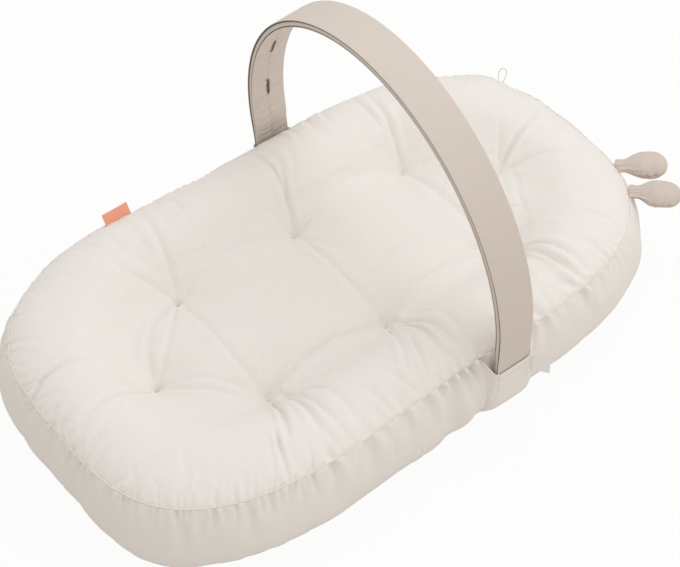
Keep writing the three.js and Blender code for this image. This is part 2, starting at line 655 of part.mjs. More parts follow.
function hangLoop() {
  const side = LOOP_SHARES.map(([x, z]) => new THREE.Vector3(x * LOOP_WIDTH, 0, z * LOOP_HEIGHT));
  const back = side.slice(0, -1).reverse().map((point) => point.clone().setX(-point.x));
  const section = new THREE.Shape().absarc(0, 0, LOOP_RADIUS, 0, 2 * Math.PI);
  const extrudePath = new THREE.CatmullRomCurve3([...side, ...back]);
  return solidOfGeometry(
    new THREE.ExtrudeGeometry(section, { extrudePath, steps: LOOP_STEPS, curveSegments: LOOP_SIDES / 2 }),
  );
}

function standing(matrix, ...meshes) {
  const group = new THREE.Group();
  matrix.decompose(group.position, group.quaternion, group.scale);
  if (meshes.length) group.add(...meshes);
  return group;
}

// The lounger

const lounger = new THREE.Group();
const form = cushionForm(-GAP, -GAP);
const band = sideBand();

lounger.add(
  piece("fibre_filling", fibreFilling(), FILLING()),
  piece("top_panel", topPanel(), COVER()),
  piece("side_band_foot", bandLength(band, -HALF_LENGTH - BULGE - OVERRUN, ARCH_X - GAP / 2), COVER()),
  piece("side_band_head", bandLength(band, ARCH_X + GAP / 2, HALF_LENGTH + BULGE + OVERRUN), COVER()),
  piece("base_panel", basePanel(), COVER()),
  piece("pocket_near", pocket(-1, form), COVER()),
  piece("pocket_far", pocket(1, form), COVER()),
  ...TUFTS.map((tuft, i) => piece(`tuft_tie_${i + 1}`, tuftTie(tuft, form), THREAD())),
);

lounger.add(
  standing(
    LEAN,
    piece("arch_outer_band", foldedBand(1), LINEN()),
    piece("arch_core", archCore(), CORE()),
    piece("arch_inner_band", innerBand(), LINEN()),
    ...BUTTONHOLES.map((frame, i) => {
      const rim = piece(`buttonhole_${i + 1}`, buttonhole(), BUTTONHOLE());
      frame.decompose(rim.position, rim.quaternion, rim.scale);
      return rim;
    }),
  ),
);

for (const ear of EARS) {
  const skin = piece(`${ear.name}_skin`, earSkin(), EAR());
  lounger.add(standing(earFrame(ear), skin, piece(`${ear.name}_filling`, earFilling(), FILLING())));
}

const pitch = radians(TAB_PITCH);
const coral = piece("coral_tab", foldedTab(CORAL_TAB_WIDTH, CORAL_TAB_HEIGHT), CORAL());
const loop = piece("hang_loop", hangLoop(), THREAD());
lounger.add(standing(seamFrame(CORAL_TAB_TURN, pitch, TAB_GAP, RIM_Z), coral));
lounger.add(standing(seamFrame(LOOP_TURN, pitch, TAB_GAP, RIM_Z), loop));

// The white tab is sewn to the near pocket's front corner, on the side of the head end.
const swing = radians(WHITE_TAB_SWING);
const outOfPocket = new THREE.Vector3(Math.cos(swing), -Math.sin(swing), 0);
const tabMiddle = -WHITE_TAB_DROP - WHITE_TAB_WIDTH / 2;
const corner = new THREE.Vector3(POCKET_HALF, -POCKET_FRONT, tabMiddle).addScaledVector(outOfPocket, TAB_GAP);
const tabFrame = standingFrame(new THREE.Vector3(0, 0, 1), outOfPocket, corner).premultiply(LEAN);
const white = piece("white_tab", foldedTab(WHITE_TAB_WIDTH, WHITE_TAB_HEIGHT), WHITE());
lounger.add(standing(tabFrame, white));

export default lounger;
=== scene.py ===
"""The looks of the infant lounger: its tufted cushion, arch, pockets, ears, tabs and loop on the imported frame.

Metres, in the part's own frame: +X points to the head end, +Y to the far side and +Z up.
"""

import logging
import math
from dataclasses import dataclass, replace
from enum import Enum
from typing import Any, NamedTuple, Sequence

import bpy
import numpy as np
from mathutils import Matrix, Vector


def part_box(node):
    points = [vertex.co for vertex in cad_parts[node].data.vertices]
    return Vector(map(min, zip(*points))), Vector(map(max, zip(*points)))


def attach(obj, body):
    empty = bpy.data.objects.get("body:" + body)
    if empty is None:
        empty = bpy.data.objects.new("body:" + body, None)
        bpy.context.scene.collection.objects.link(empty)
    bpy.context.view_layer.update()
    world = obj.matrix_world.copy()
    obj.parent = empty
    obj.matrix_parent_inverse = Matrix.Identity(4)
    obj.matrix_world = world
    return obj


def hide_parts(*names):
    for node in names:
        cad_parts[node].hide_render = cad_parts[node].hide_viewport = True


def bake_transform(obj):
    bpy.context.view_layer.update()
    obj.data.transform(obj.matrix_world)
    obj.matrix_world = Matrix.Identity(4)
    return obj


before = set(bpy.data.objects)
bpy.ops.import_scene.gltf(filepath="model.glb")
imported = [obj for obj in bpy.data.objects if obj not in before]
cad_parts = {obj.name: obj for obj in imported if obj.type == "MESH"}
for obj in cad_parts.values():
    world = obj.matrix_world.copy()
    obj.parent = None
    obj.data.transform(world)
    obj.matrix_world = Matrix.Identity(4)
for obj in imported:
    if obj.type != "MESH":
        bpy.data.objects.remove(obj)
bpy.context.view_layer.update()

LOG = logging.getLogger("lounger")
MM = 0.001
Array = np.ndarray
Object, Material = bpy.types.Object, bpy.types.Material
Tree, Node, Socket = bpy.types.NodeTree, bpy.types.Node, bpy.types.NodeSocket
UP = np.array([0.0, 0.0, 1.0])
RIPPLE_WAVES = 18
# A wave texture of scale 1 repeats every pi / 10.
WAVE_PERIOD = 0.314159


class Side(Enum):
    """The two long sides of the cushion, with the sign of their Y."""

    NEAR = -1
    FAR = 1


class Weave(Enum):
    """How the threads of a cloth cross."""

    PLAIN = "plain"
    TWILL = "twill"


# Meshes


def lay_mesh(name: str, points: Array, faces: Array, uv: Array | None = None) -> Object:
    """Puts points and faces into a smooth-shaded mesh object at the origin.

    Args:
        name: the piece's name.
        points: (n, 3) places in metres.
        faces: (m, 3) or (m, 4) indices, counter-clockwise seen from outside.
        uv: (m, corners, 2) cloth places of each face's corners, in metres, or None.

    Returns:
        The new object, linked to the scene.
    """
    mesh = bpy.data.meshes.new(name)
    mesh.from_pydata(points.reshape(-1, 3).tolist(), [], faces.tolist())
    if uv is not None:
        layer = mesh.uv_layers.new(name="cloth")
        layer.data.foreach_set("uv", uv.reshape(-1).astype(np.float32))
    mesh.polygons.foreach_set("use_smooth", np.ones(len(faces), bool))
    mesh.update()
    obj = bpy.data.objects.new(name, mesh)
    bpy.context.scene.collection.objects.link(obj)
    return obj


def grid_faces(rows: int, columns: int, wrap_rows: bool = False, wrap_columns: bool = False) -> Array:
    """Quads of a grid: each joins a point to its neighbour in the row and to the two of the next row.

    Args:
        rows: number of rows of points.
        columns: number of points in a row.
        wrap_rows: whether the last row joins the first.
        wrap_columns: whether each row closes on itself.

    Returns:
        (m, 4) indices into the flattened grid.
    """
    i = np.arange(rows if wrap_rows else rows - 1)[:, None]
    j = np.arange(columns if wrap_columns else columns - 1)[None, :]
    below, right = (i + 1) % rows, (j + 1) % columns
    quads = [i * columns + j, i * columns + right, below * columns + right, below * columns + j]
    return np.stack([np.broadcast_to(q, (i.size, j.size)) for q in quads], -1).reshape(-1, 4)


def grid_uv(u: Array, v: Array) -> Array:
    """Corner places for grid_faces.

    Args:
        u: first place of each point, a column, a row or a whole grid. The grid of u and v has one more column
            or row wherever the faces wrap.
        v: second place, likewise.

    Returns:
        (m, 4, 2) places of the corners of each face.
    """
    uv = np.stack(np.broadcast_arrays(u, v), -1)
    return np.stack([uv[:-1, :-1], uv[:-1, 1:], uv[1:, 1:], uv[1:, :-1]], 2).reshape(-1, 4, 2)


def full_turn(count: int) -> Array:
    """Even angles round a circle, from 0."""
    return np.linspace(0, 2 * np.pi, count, endpoint=False)


def unit(vectors: Array) -> Array:
    """Vectors divided by their lengths."""
    return vectors / np.maximum(np.linalg.norm(vectors, axis=-1, keepdims=True), 1e-12)


def smooth(share: Array) -> Array:
    """The step 3t^2 - 2t^3 of a share held between 0 and 1."""
    t = np.clip(share, 0, 1)
    return t * t * (3 - 2 * t)


def running_length(path: Array) -> Array:
    """Length along a path of points, from 0 at its first point."""
    steps = np.linalg.norm(np.diff(path, axis=0), axis=1)
    return np.concatenate([[0], np.cumsum(steps)])


def along_path(wanted: Array, length: Array, values: Array) -> Array:
    """Values read off along a path, straight between its points.

    Args:
        wanted: lengths along the path, in any shape.
        length: (n,) running length of the path's points.
        values: (n, k) values at the path's points.

    Returns:
        The k values at each wanted length, in a last axis.
    """
    return np.stack([np.interp(wanted, length, values[:, k]) for k in range(values.shape[1])], -1)


def even_path(path: Array, count: int) -> Array:
    """The path again, as that many points at equal distances."""
    length = running_length(path)
    return along_path(np.linspace(0, length[-1], count), length, path)


def ripple(places: Array, length: float, low: float, high: float, seed: int) -> Array:
    """A seeded sum of sines round a closed line, with wavelengths from low to high.

    Args:
        places: places along the line, in metres.
        length: the closed line's whole length.
        low: shortest wavelength.
        high: longest wavelength.
        seed: picks the sines' sizes and phases.

    Returns:
        The sum at each place, between -1 and 1.
    """
    rng = np.random.default_rng(seed)
    counts = np.unique(np.round(length / np.geomspace(low, high, RIPPLE_WAVES)).astype(int))
    sizes = rng.uniform(0.4, 1, counts.size)
    phases = rng.uniform(0, 2 * np.pi, counts.size)
    waves = [a * np.sin(2 * np.pi * k * places / length + p) for a, k, p in zip(sizes, counts, phases)]
    total = np.sum(waves, axis=0)
    return total / max(np.abs(total).max(), 1e-9)


def rings_round(path: Array, across: Array, upward: Array, reach: Array) -> Array:
    """Rings round the points of a path: point + reach (cos(turn) across + sin(turn) upward).

    Args:
        path: (..., n, 3) points.
        across: (..., n, 3) first direction across the path.
        upward: (..., n, 3) second direction across the path.
        reach: (n, sides) grid of the rings' radii.

    Returns:
        (..., n, sides, 3) points.
    """
    turn = full_turn(reach.shape[1])
    circle = np.cos(turn)[:, None] * across[..., None, :] + np.sin(turn)[:, None] * upward[..., None, :]
    return path[..., None, :] + reach[..., None] * circle


def tube(name: str, path: Array, radius: Array | float, sides: int, closed: bool, up: Array) -> Object:
    """A round tube: each point of the path carries a ring, radius away from it, in the plane across the path.

    Args:
        name: the piece's name.
        path: (n, 3) points.
        radius: one radius, or an (n, sides) grid of radii.
        sides: points in a ring.
        closed: whether the path closes on itself. An open tube's ends are drawn in to points.
        up: a direction that is never along the path.

    Returns:
        The tube, with its length and its girth as the cloth's two places.
    """
    if closed:
        tangent = unit(np.roll(path, -1, 0) - np.roll(path, 1, 0))
    else:
        tangent = unit(np.gradient(path, axis=0))
    across = unit(np.cross(tangent, up))
    upward = np.cross(across, tangent)
    reach = np.broadcast_to(np.asarray(radius, float), (len(path), sides)).copy()
    if not closed:
        reach[[0, -1]] = 1e-6
    rings = rings_round(path, across, upward, reach)
    faces = grid_faces(len(path), sides, wrap_rows=closed, wrap_columns=True)
    whole = np.concatenate([path, path[:1]]) if closed else path
    around = np.linspace(0, 2 * np.pi * float(np.mean(reach)), sides + 1)[None, :]
    uv = grid_uv(running_length(whole)[:, None], around)
    return lay_mesh(name, rings, faces[:, ::-1], uv[:, ::-1])


def joined(name: str, parts: Sequence[Object]) -> Object:
    """One object from several, whose faces all have four corners. The several are removed.

    Args:
        name: the new piece's name.
        parts: objects from lay_mesh, all at the origin.

    Returns:
        The new object.
    """
    points, faces, uvs, start = [], [], [], 0
    for part in parts:
        mesh = part.data
        places = np.zeros(len(mesh.vertices) * 3)
        mesh.vertices.foreach_get("co", places)
        corners = np.zeros(len(mesh.loops), int)
        mesh.loops.foreach_get("vertex_index", corners)
        uv = np.zeros(len(mesh.loops) * 2)
        mesh.uv_layers[0].data.foreach_get("uv", uv)
        points.append(places.reshape(-1, 3))
        faces.append(corners.reshape(-1, 4) + start)
        uvs.append(uv.reshape(-1, 4, 2))
        start += len(mesh.vertices)
        bpy.data.objects.remove(part)
    return lay_mesh(name, np.concatenate(points), np.concatenate(faces), np.concatenate(uvs))


# Materials


def linear(hex_colour: str) -> tuple[float, float, float, float]:
    """An sRGB colour written as #rrggbb, as linear values with alpha 1."""
    values = [int(hex_colour[i : i + 2], 16) / 255 for i in (1, 3, 5)]
    r, g, b = (v / 12.92 if v <= 0.04045 else ((v + 0.055) / 1.055) ** 2.4 for v in values)
    return (r, g, b, 1.0)


def add_node(tree: Tree, kind: str, settings: dict[str, Any], inputs: dict[str | int, Any]) -> Node:
    """Adds a node with its settings and its inputs, which are values or the output sockets to link.

    Args:
        tree: the material's or world's node tree.
        kind: the node's type, without ShaderNode in front.
        settings: attributes of the node.
        inputs: values or sockets by the input's name or number.

    Returns:
        The new node.
    """
    node = tree.nodes.new("ShaderNode" + kind)
    for key, value in settings.items():
        setattr(node, key, value)
    for key, value in inputs.items():
        if isinstance(value, Socket):
            tree.links.new(value, node.inputs[key])
        else:
            node.inputs[key].default_value = value
    return node


def mixed_number(tree: Tree, factor: Any, low: Any, high: Any) -> Socket:
    """A number between low (factor 0) and high (factor 1), each a value or a socket."""
    node = add_node(tree, "Mix", {"data_type": "FLOAT"}, {0: factor, 2: low, 3: high})
    return node.outputs[0]


def mixed_colour(tree: Tree, factor: Any, low: Any, high: Any) -> Socket:
    """A colour between low (factor 0) and high (factor 1), each a value or a socket."""
    node = add_node(tree, "Mix", {"data_type": "RGBA"}, {0: factor, 6: low, 7: high})
    return node.outputs[2]


def mapped(tree: Tree, value: Any, low: float, high: float, to_low: float, to_high: float) -> Socket:
    """A value that goes from to_low to to_high while the input goes from low to high, and is held at both."""
    node = add_node(tree, "MapRange", {}, {0: value, 1: low, 2: high, 3: to_low, 4: to_high})
    return node.outputs[0]


def bare_material(name: str) -> tuple[Material, Tree]:
    """A new material with an empty node tree."""
    material = bpy.data.materials.new(name)
    material.use_nodes = True
    material.node_tree.nodes.clear()
    return material, material.node_tree


@dataclass(frozen=True)
class WovenCloth:
    """A woven cloth: threads cross in a weave, some are thicker than others, and fine fibres catch the light.

    The cloth's own UV map is in metres, so thread is the spacing at which the threads are drawn. Slub is how far
    thick threads change the tone, relief how high the threads stand, and crumple how high the soft unevenness of
    washed cloth does.
    """

    name: str
    colour: str
    shade: str
    thread: float
    weave: Weave = Weave.PLAIN
    slub: float = 0.3
    relief: float = 0.00012
    crumple: float = 0.0
    roughness: float = 0.85
    sheen: float = 0.25
    slub_length: float = 0.03
    slub_width: float = 0.0011
    thread_share: float = 0.35
    crumple_scale: float = 55.0

    def threads(self, tree: Tree, place: Socket) -> Socket:
        """The rounded threads: bands of warp and of weft that take turns on a checker, 1 on a thread's crown."""
        across = {"Vector": place, "Scale": WAVE_PERIOD / self.thread, "Distortion": 0.6, "Detail": 1.0}
        warp = add_node(tree, "TexWave", {"bands_direction": "X"}, across)
        weft = add_node(tree, "TexWave", {"bands_direction": "Y"}, across)
        cell = 1 / self.thread if self.weave is Weave.PLAIN else 0.5 / self.thread
        parity = add_node(tree, "TexChecker", {}, {"Vector": place, "Scale": cell})
        return mixed_number(tree, parity.outputs["Fac"], warp.outputs["Fac"], weft.outputs["Fac"])

    def slubs(self, tree: Tree, place: Socket) -> Socket:
        """The thick threads: long thin streaks of noise both ways, 0.5 on the mean and slub either side of it."""
        streaks = []
        long, thin = self.slub_length, self.slub_width
        for reach in ((long, thin), (thin, long)):
            mapping = add_node(tree, "Mapping", {}, {"Vector": place, "Scale": (1 / reach[0], 1 / reach[1], 1)})
            streak = add_node(tree, "TexNoise", {}, {"Vector": mapping.outputs["Vector"], "Scale": 1.0, "Detail": 2.0})
            streaks.append(streak.outputs["Fac"])
        both = add_node(tree, "Math", {"operation": "ADD"}, {0: streaks[0], 1: streaks[1]})
        return mapped(tree, both.outputs[0], 0.75, 1.25, 0.5 - self.slub, 0.5 + self.slub)

    def bumps(self, tree: Tree, place: Socket, slubs: Socket, threads: Socket) -> Socket:
        """The normal: threads and slubs stand up from the cloth, and a washed cloth is softly crumpled."""
        height = add_node(tree, "Math", {"operation": "MULTIPLY_ADD"}, {0: slubs, 1: 0.8, 2: threads})
        fine = {"Strength": 0.6, "Distance": self.relief, "Height": height.outputs[0]}
        normal = add_node(tree, "Bump", {}, fine).outputs["Normal"]
        if self.crumple:
            noise = {"Vector": place, "Scale": self.crumple_scale, "Detail": 3.0, "Roughness": 0.5}
            soft = add_node(tree, "TexNoise", {}, noise)
            wide = {"Strength": 1.0, "Distance": self.crumple, "Height": soft.outputs["Fac"], "Normal": normal}
            normal = add_node(tree, "Bump", {}, wide).outputs["Normal"]
        return normal

    def material(self) -> Material:
        """Builds the material: the weave and its slubs set the colour and the bump."""
        material, tree = bare_material(self.name)
        place = add_node(tree, "UVMap", {"uv_map": "cloth"}, {}).outputs["UV"]
        threads = self.threads(tree, place)
        slubs = self.slubs(tree, place)
        tone = mixed_number(tree, self.thread_share, slubs, threads)
        cloth = mixed_colour(tree, tone, linear(self.shade), linear(self.colour))
        surface = {
            "Base Color": cloth,
            "Roughness": self.roughness,
            "IOR": 1.5,
            "Specular IOR Level": 0.25,
            "Sheen Weight": self.sheen,
            "Sheen Roughness": 0.5,
            "Normal": self.bumps(tree, place, slubs, threads),
        }
        shader = add_node(tree, "BsdfPrincipled", {}, surface)
        add_node(tree, "OutputMaterial", {}, {"Surface": shader.outputs[0]})
        return material


@dataclass(frozen=True)
class Moulded:
    """A moulded plastic: one colour, with a fine grain from the mould."""

    name: str
    colour: str
    roughness: float

    def material(self) -> Material:
        """Builds the material: a faint grain of 0.4 mm in the bump."""
        material, tree = bare_material(self.name)
        place = add_node(tree, "TexCoord", {}, {}).outputs["Object"]
        grain = add_node(tree, "TexNoise", {}, {"Vector": place, "Scale": 2500.0, "Detail": 1.0})
        bump = add_node(tree, "Bump", {}, {"Strength": 0.3, "Distance": 0.00005, "Height": grain.outputs["Fac"]})
        surface = {
            "Base Color": linear(self.colour), "Roughness": self.roughness, "IOR": 1.46, "Normal": bump.outputs[0]
        }
        shader = add_node(tree, "BsdfPrincipled", {}, surface)
        add_node(tree, "OutputMaterial", {}, {"Surface": shader.outputs[0]})
        return material


# Cotton percale: fine, even threads with a dull face. The real threads lie 0.25 mm apart, and are drawn at
# 0.8 mm so that they show at all.
COTTON = WovenCloth(
    "cotton percale, cream", "#f2eeea", "#eae5df", thread=0.8 * MM, slub=0.2, relief=0.00005, crumple=0.0005
)
# Linen: uneven threads with slubs, which give it a dry, streaky face. They lie 0.5 mm apart and are drawn at 0.8 mm,
# so that they show.
LINEN = WovenCloth(
    "linen, beige", "#e0d6ce", "#cfc3b9", thread=0.8 * MM, slub=0.14, relief=0.00007, crumple=0.0004, sheen=0.2
)
# The same linen where it is turned in between the plies, coloured near black as painted shade: it stands in for the
# shade in the grooves, where hardly any light reaches it.
GROOVE_SHADE_LINEN = WovenCloth("linen, painted groove shade", "#665545", "#52443a", thread=0.9 * MM, slub=0.3)
# Linen of the ears: the same yarn, washed softer, so that it is more crumpled.
EAR_LINEN = WovenCloth(
    "linen, beige, for the ears", "#ddd1c8", "#c9bbb0", thread=0.9 * MM, slub=0.3, relief=0.00009, crumple=0.0006
)
# Woven ribbons: a tight twill with a slight gloss.
CORAL_RIBBON = WovenCloth(
    "polyester ribbon, coral", "#ffb79c", "#f9a68b", thread=0.45 * MM, weave=Weave.TWILL, slub=0.1, roughness=0.6,
    sheen=0.05,
)
WHITE_RIBBON = WovenCloth(
    "polyester ribbon, white", "#ffffff", "#f8f6f2", thread=0.45 * MM, weave=Weave.TWILL, slub=0.1, roughness=0.6,
    sheen=0.1,
)
# Cord and sewing thread: twisted cotton, matt, whose strands are drawn as a weave.
CORD = WovenCloth("cotton cord, cream", "#f2eee7", "#ddd6ca", thread=0.5 * MM, slub=0.2)
SEWING_THREAD = WovenCloth("cotton sewing thread, cream", "#efe9df", "#d8cfc2", thread=0.4 * MM, slub=0.2)
# The buttonholes' thread, and the dark strip in their slits, whose colour is painted shadow: the shade that lies in the
# cut.
BROWN_THREAD = WovenCloth("cotton sewing thread, olive brown", "#a08a58", "#6f5d38", thread=0.4 * MM, slub=0.3)
SLIT_SHADOW = WovenCloth("buttonhole slit, painted shadow", "#4a3d2b", "#33291c", thread=0.4 * MM, slub=0.3)
# The strip in the arch: moulded plastic, smooth and half matt.
SPRING_STRIP = Moulded("polypropylene strip, grey", "#b9b4ac", 0.5)


def dress(obj: Object, material: Material) -> None:
    """Gives an object one material in its only slot."""
    obj.data.materials.clear()
    obj.data.materials.append(material)


def settle(
    obj: Object, body: str, slot: str, material: Material, *nodes: str, root: tuple[Array, Array] | None = None
) -> None:
    """Dresses a finished piece, bakes its place into its mesh or lets it ride on a body, and hides the CAD nodes that
    it stands for.

    Args:
        obj: the finished piece.
        body: the body that it rides on.
        slot: the record's material slot; not used.
        material: its finish.
        nodes: the CAD nodes that it stands for.
        root: for a tab or loop sewn into the cushion, the two points at its root. Only whether it is given is read:
            then the piece's place is baked in and it rides on no body.
    """
    dress(obj, material)
    if root:
        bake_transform(obj)
    else:
        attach(obj, body)
    if nodes:
        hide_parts(*nodes)
    LOG.info("%s on %s, %d faces", obj.name, body, len(obj.data.polygons))


# Cushion


@dataclass(frozen=True)
class Fold:
    """A crease in the top cloth: a curve given by three plan points (x, y), its depth and its width, in mm."""

    start: tuple[float, float]
    bend: tuple[float, float]
    end: tuple[float, float]
    depth: float
    width: float = 6.0
    held_at_end: bool = False
    margin: float = 0.04
    pieces: int = 24

    def relief(self, x: Array, y: Array) -> Array:
        """Height that the crease adds, in metres.

        The curve is (1-t)^2 start + 2t(1-t) bend + t^2 end. At a distance s from it, on the side d, the cloth
        falls into a broad valley exp(-(s/width)^2) and a sharp one exp(-s/(0.3 width)), and swells into a
        rounded lip beside it, fuller on one side. It fades towards a free end, and past a margin it is nought.

        Args:
            x: plan places in metres, in any shape.
            y: the same, across the cushion.

        Returns:
            The height at each place.
        """
        t = np.linspace(0, 1, self.pieces + 1)
        a, b, c = (np.array(p) * MM for p in (self.start, self.bend, self.end))
        curve = (1 - t)[:, None] ** 2 * a + 2 * (t * (1 - t))[:, None] * b + t[:, None] ** 2 * c
        low, high = curve.min(0) - self.margin, curve.max(0) + self.margin
        near = (x > low[0]) & (x < high[0]) & (y > low[1]) & (y < high[1])
        added = np.zeros_like(x)
        px, py = x[near], y[near]
        best = np.full(px.shape, np.inf)
        place = np.zeros(px.shape)
        hand = np.ones(px.shape)
        for k in range(self.pieces):
            p, d = curve[k], curve[k + 1] - curve[k]
            share = np.clip(((px - p[0]) * d[0] + (py - p[1]) * d[1]) / (d @ d), 0, 1)
            across, along = px - p[0] - share * d[0], py - p[1] - share * d[1]
            gap = np.hypot(across, along)
            closer = gap < best
            best = np.where(closer, gap, best)
            place = np.where(closer, (k + share) / self.pieces, place)
            hand = np.where(closer, np.sign(across * d[1] - along * d[0]), hand)
        if self.held_at_end:
            strength = 1 - 0.35 * np.sin(np.pi * place)
        else:
            strength = (1 - place) ** 0.7 * (0.45 + 0.55 * smooth(place / 0.2))
        width = self.width * MM * (0.6 + 0.4 * place)
        valley = 0.52 * np.exp(-((best / width) ** 2)) + 0.58 * np.exp(-best / (0.3 * width))
        lip = (0.4 + 0.16 * hand) * np.exp(-(((best - 2.1 * width) / (1.1 * width)) ** 2))
        added[near] = -self.depth * MM * strength * (valley - lip)
        return added


@dataclass(frozen=True)
class Cover:
    """The cushion's cover as one grid.

    Points is (rows, columns, 3), from the top's middle line over the seam to the base's middle line. From_seam
    is each row's distance from the top seam, negative on the top, and places each column's place along it. The
    seam's whole length and the distance from it down to the base seam come last.
    """

    points: Array
    from_seam: Array
    places: Array
    length: float
    base_seam: float

    @property
    def seam_row(self) -> int:
        """The row that lies in the top seam."""
        return self.row_at(0.0)

    def row_at(self, distance: float) -> int:
        """The row nearest to a distance from the top seam."""
        return int(np.argmin(np.abs(self.from_seam - distance)))

    def beside(self, place: float) -> Array:
        """Each column's distance along the seam from a place, the short way round and with its sign."""
        return (self.places - place + self.length / 2) % self.length - self.length / 2

    def place_near(self, x: float, y: float) -> float:
        """Place along the seam where it passes nearest to a plan point."""
        seam = self.points[self.seam_row]
        return float(self.places[np.argmin(np.hypot(seam[:, 0] - x, seam[:, 1] - y))])


@dataclass(frozen=True)
class Cushion:
    """The fibre-filled cushion in its cotton cover, drawn down at eight tufts."""

    half_length: float = 0.381
    half_width: float = 0.227
    foot_power: float = 3.26
    head_power: float = 3.16
    waist_x: float = 0.038
    waist_reach: float = 0.191
    waist_share: float = 0.072
    taper_share: float = 0.016
    seam_z: float = 0.1185
    crest_z: float = 0.138
    crest_inset: float = 0.058
    crown_power: float = 2.3
    valley_z: float = 0.104
    pad_rise: float = 0.006
    head_rise: float = 0.013
    bulge: float = 0.015
    bulge_z: float = 0.05
    base_inset: float = 0.03
    side_ease: float = 1.15
    base_seam_share: float = 1.74
    dimple_depth: float = 0.015
    dimple_reach: float = 0.038
    dimple_power: float = 1.4
    pit_depth: float = 0.0105
    pit_reach: float = 0.0125
    head_share: float = 0.55
    tuft_x: float = 0.171
    tuft_y: float = 0.089
    foot_tuft_x: float = 0.262
    head_tuft_x: float = 0.248
    tuft_shift: float = 0.012
    columns: int = 1200
    rim_rows: int = 81
    pad_rows: int = 44
    side_rows: int = 61
    base_rows: int = 8
    halvings: int = 50

    def tufts(self) -> Array:
        """(8, 2) plan places of the tufts, from the head end round by the far side."""
        x, y = self.tuft_x, self.tuft_y
        head, foot = self.head_tuft_x, -self.foot_tuft_x
        places = [(head, 0), (x, y), (0, y), (-x, y), (foot, 0), (-x, -y), (0, -y), (x, -y)]
        return np.array(places) + [self.tuft_shift, 0]

    @staticmethod
    def folds() -> list[Fold]:
        """The creases that the photograph shows, and those of the same kind that the arch hides."""
        a, b, c, d = (-159, 89), (-250, 0), (-159, -89), (12, 89)
        e, f, g, h = (183, 89), (12, -89), (260, 0), (183, -89)
        between = [
            (a, (-166, 0), c, 2.6, 6, True),
            (d, (4, -4), f, 3.2, 6, True),
            (e, (178, 0), h, 2.6, 7, True),
            (a, (-80, 117), d, 3.4, 8, True),
            (c, (-76, -68), f, 5.0, 7, True),
            (d, (98, 120), e, 2.8, 7, True),
            (f, (96, -60), h, 2.2, 8, True),
            (a, (-232, 72), b, 3.4, 5, True),
            (a, (-206, 30), b, 2.6, 4.5, True),
            (b, (-196, -34), c, 2.0, 5, True),
            (b, (-212, -62), c, 2.6, 5, True),
            (e, (226, 68), g, 2.4, 6, True),
            (g, (240, -62), h, 2.6, 6, True),
        ]
        free = [
            (b, (-312, -8), (-356, -18), 3.6, 5),
            (b, (-278, 14), (-322, 8), 2.4, 4),
            (b, (-282, -6), (-316, -28), 1.8, 4),
            ((-378, 50), (-340, 69), (-288, 44), 6.0, 5),
            ((-379, 48), (-360, 49), (-340, 40), 2.4, 4),
            ((-210, -36), (-194, -46), (-170, -78), 1.8, 4),
            (d, (36, 128), (28, 200), 4.6, 5.5),
            ((24, 122), (50, 146), (44, 196), 3.2, 5),
            ((34, 126), (64, 140), (66, 178), 1.8, 5),
            (d, (58, 96), (96, 84), 2.0, 5),
            (e, (196, 120), (206, 196), 4.0, 5.5),
            ((184, 134), (180, 166), (190, 204), 2.8, 5),
            (e, (150, 100), (124, 88), 1.8, 5),
            (g, (296, 14), (340, 28), 7.0, 4.5),
            (g, (304, -20), (342, -54), 2.6, 6),
            (g, (296, 34), (316, 66), 1.8, 5),
            ((14, -92), (20, -136), (10, -186), 7.0, 5),
            ((20, -92), (33, -150), (33, -212), 8.0, 5.5),
            ((40, -110), (56, -150), (46, -196), 2.0, 4.5),
            (f, (-14, -140), (-42, -198), 4.4, 4),
            ((-4, -150), (-12, -184), (-24, -214), 3.6, 4.2),
            ((-148, -92), (-152, -146), (-161, -192), 6.0, 4.5),
            ((-160, -92), (-173, -138), (-196, -178), 9.0, 4.2),
            ((-145, -96), (-142, -150), (-139, -208), 4.8, 4.5),
            ((-136, -118), (-108, -150), (-122, -206), 2.8, 5),
            ((-203, -164), (-213, -188), (-221, -208), 5.0, 3.6),
            (c, (-126, -72), (-90, -72), 2.6, 5),
            ((184, -110), (198, -156), (221, -216), 8.0, 5),
            ((190, -98), (230, -146), (225, -210), 6.5, 4.8),
            (h, (236, -80), (258, -120), 3.0, 5),
            (h, (202, -144), (206, -190), 3.0, 5),
            (h, (158, -128), (164, -176), 2.4, 5),
            (d, (20, 30), (50, -20), 1.8, 6),
            ((46, -22), (132, -4), (160, -66), 1.8, 7),
            (f, (34, -86), (66, -66), 2.4, 4.5),
            (f, (-6, -60), (-2, -30), 1.6, 5),
            (h, (164, -60), (122, -72), 2.0, 5),
            (a, (-140, 130), (-136, 196), 3.4, 5.5),
            (a, (-178, 124), (-208, 134), 2.4, 6),
            ((150, 218), (134, 186), (134, 160), 2.4, 4.5),
            ((128, 220), (116, 196), (112, 172), 2.0, 4.5),
            ((96, 218), (92, 190), (84, 166), 1.8, 4.5),
            ((-96, 214), (-90, 180), (-98, 150), 1.6, 6),
            ((-40, -214), (-46, -190), (-58, -170), 2.0, 4.5),
            ((-78, -216), (-80, -190), (-92, -168), 1.8, 4.5),
            ((300, -160), (284, -136), (262, -120), 2.4, 5),
            ((262, -196), (254, -170), (238, -150), 2.4, 5),
        ]
        return [Fold(*row) for row in between + free]

    def waist(self, x: Array) -> Array:
        """Share of the width left at x: drawn in near the arch, and narrower towards the head."""
        drawn = 1 - self.waist_share * np.exp(-(((x - self.waist_x) / self.waist_reach) ** 2))
        return drawn * (1 - self.taper_share * x / self.half_length)

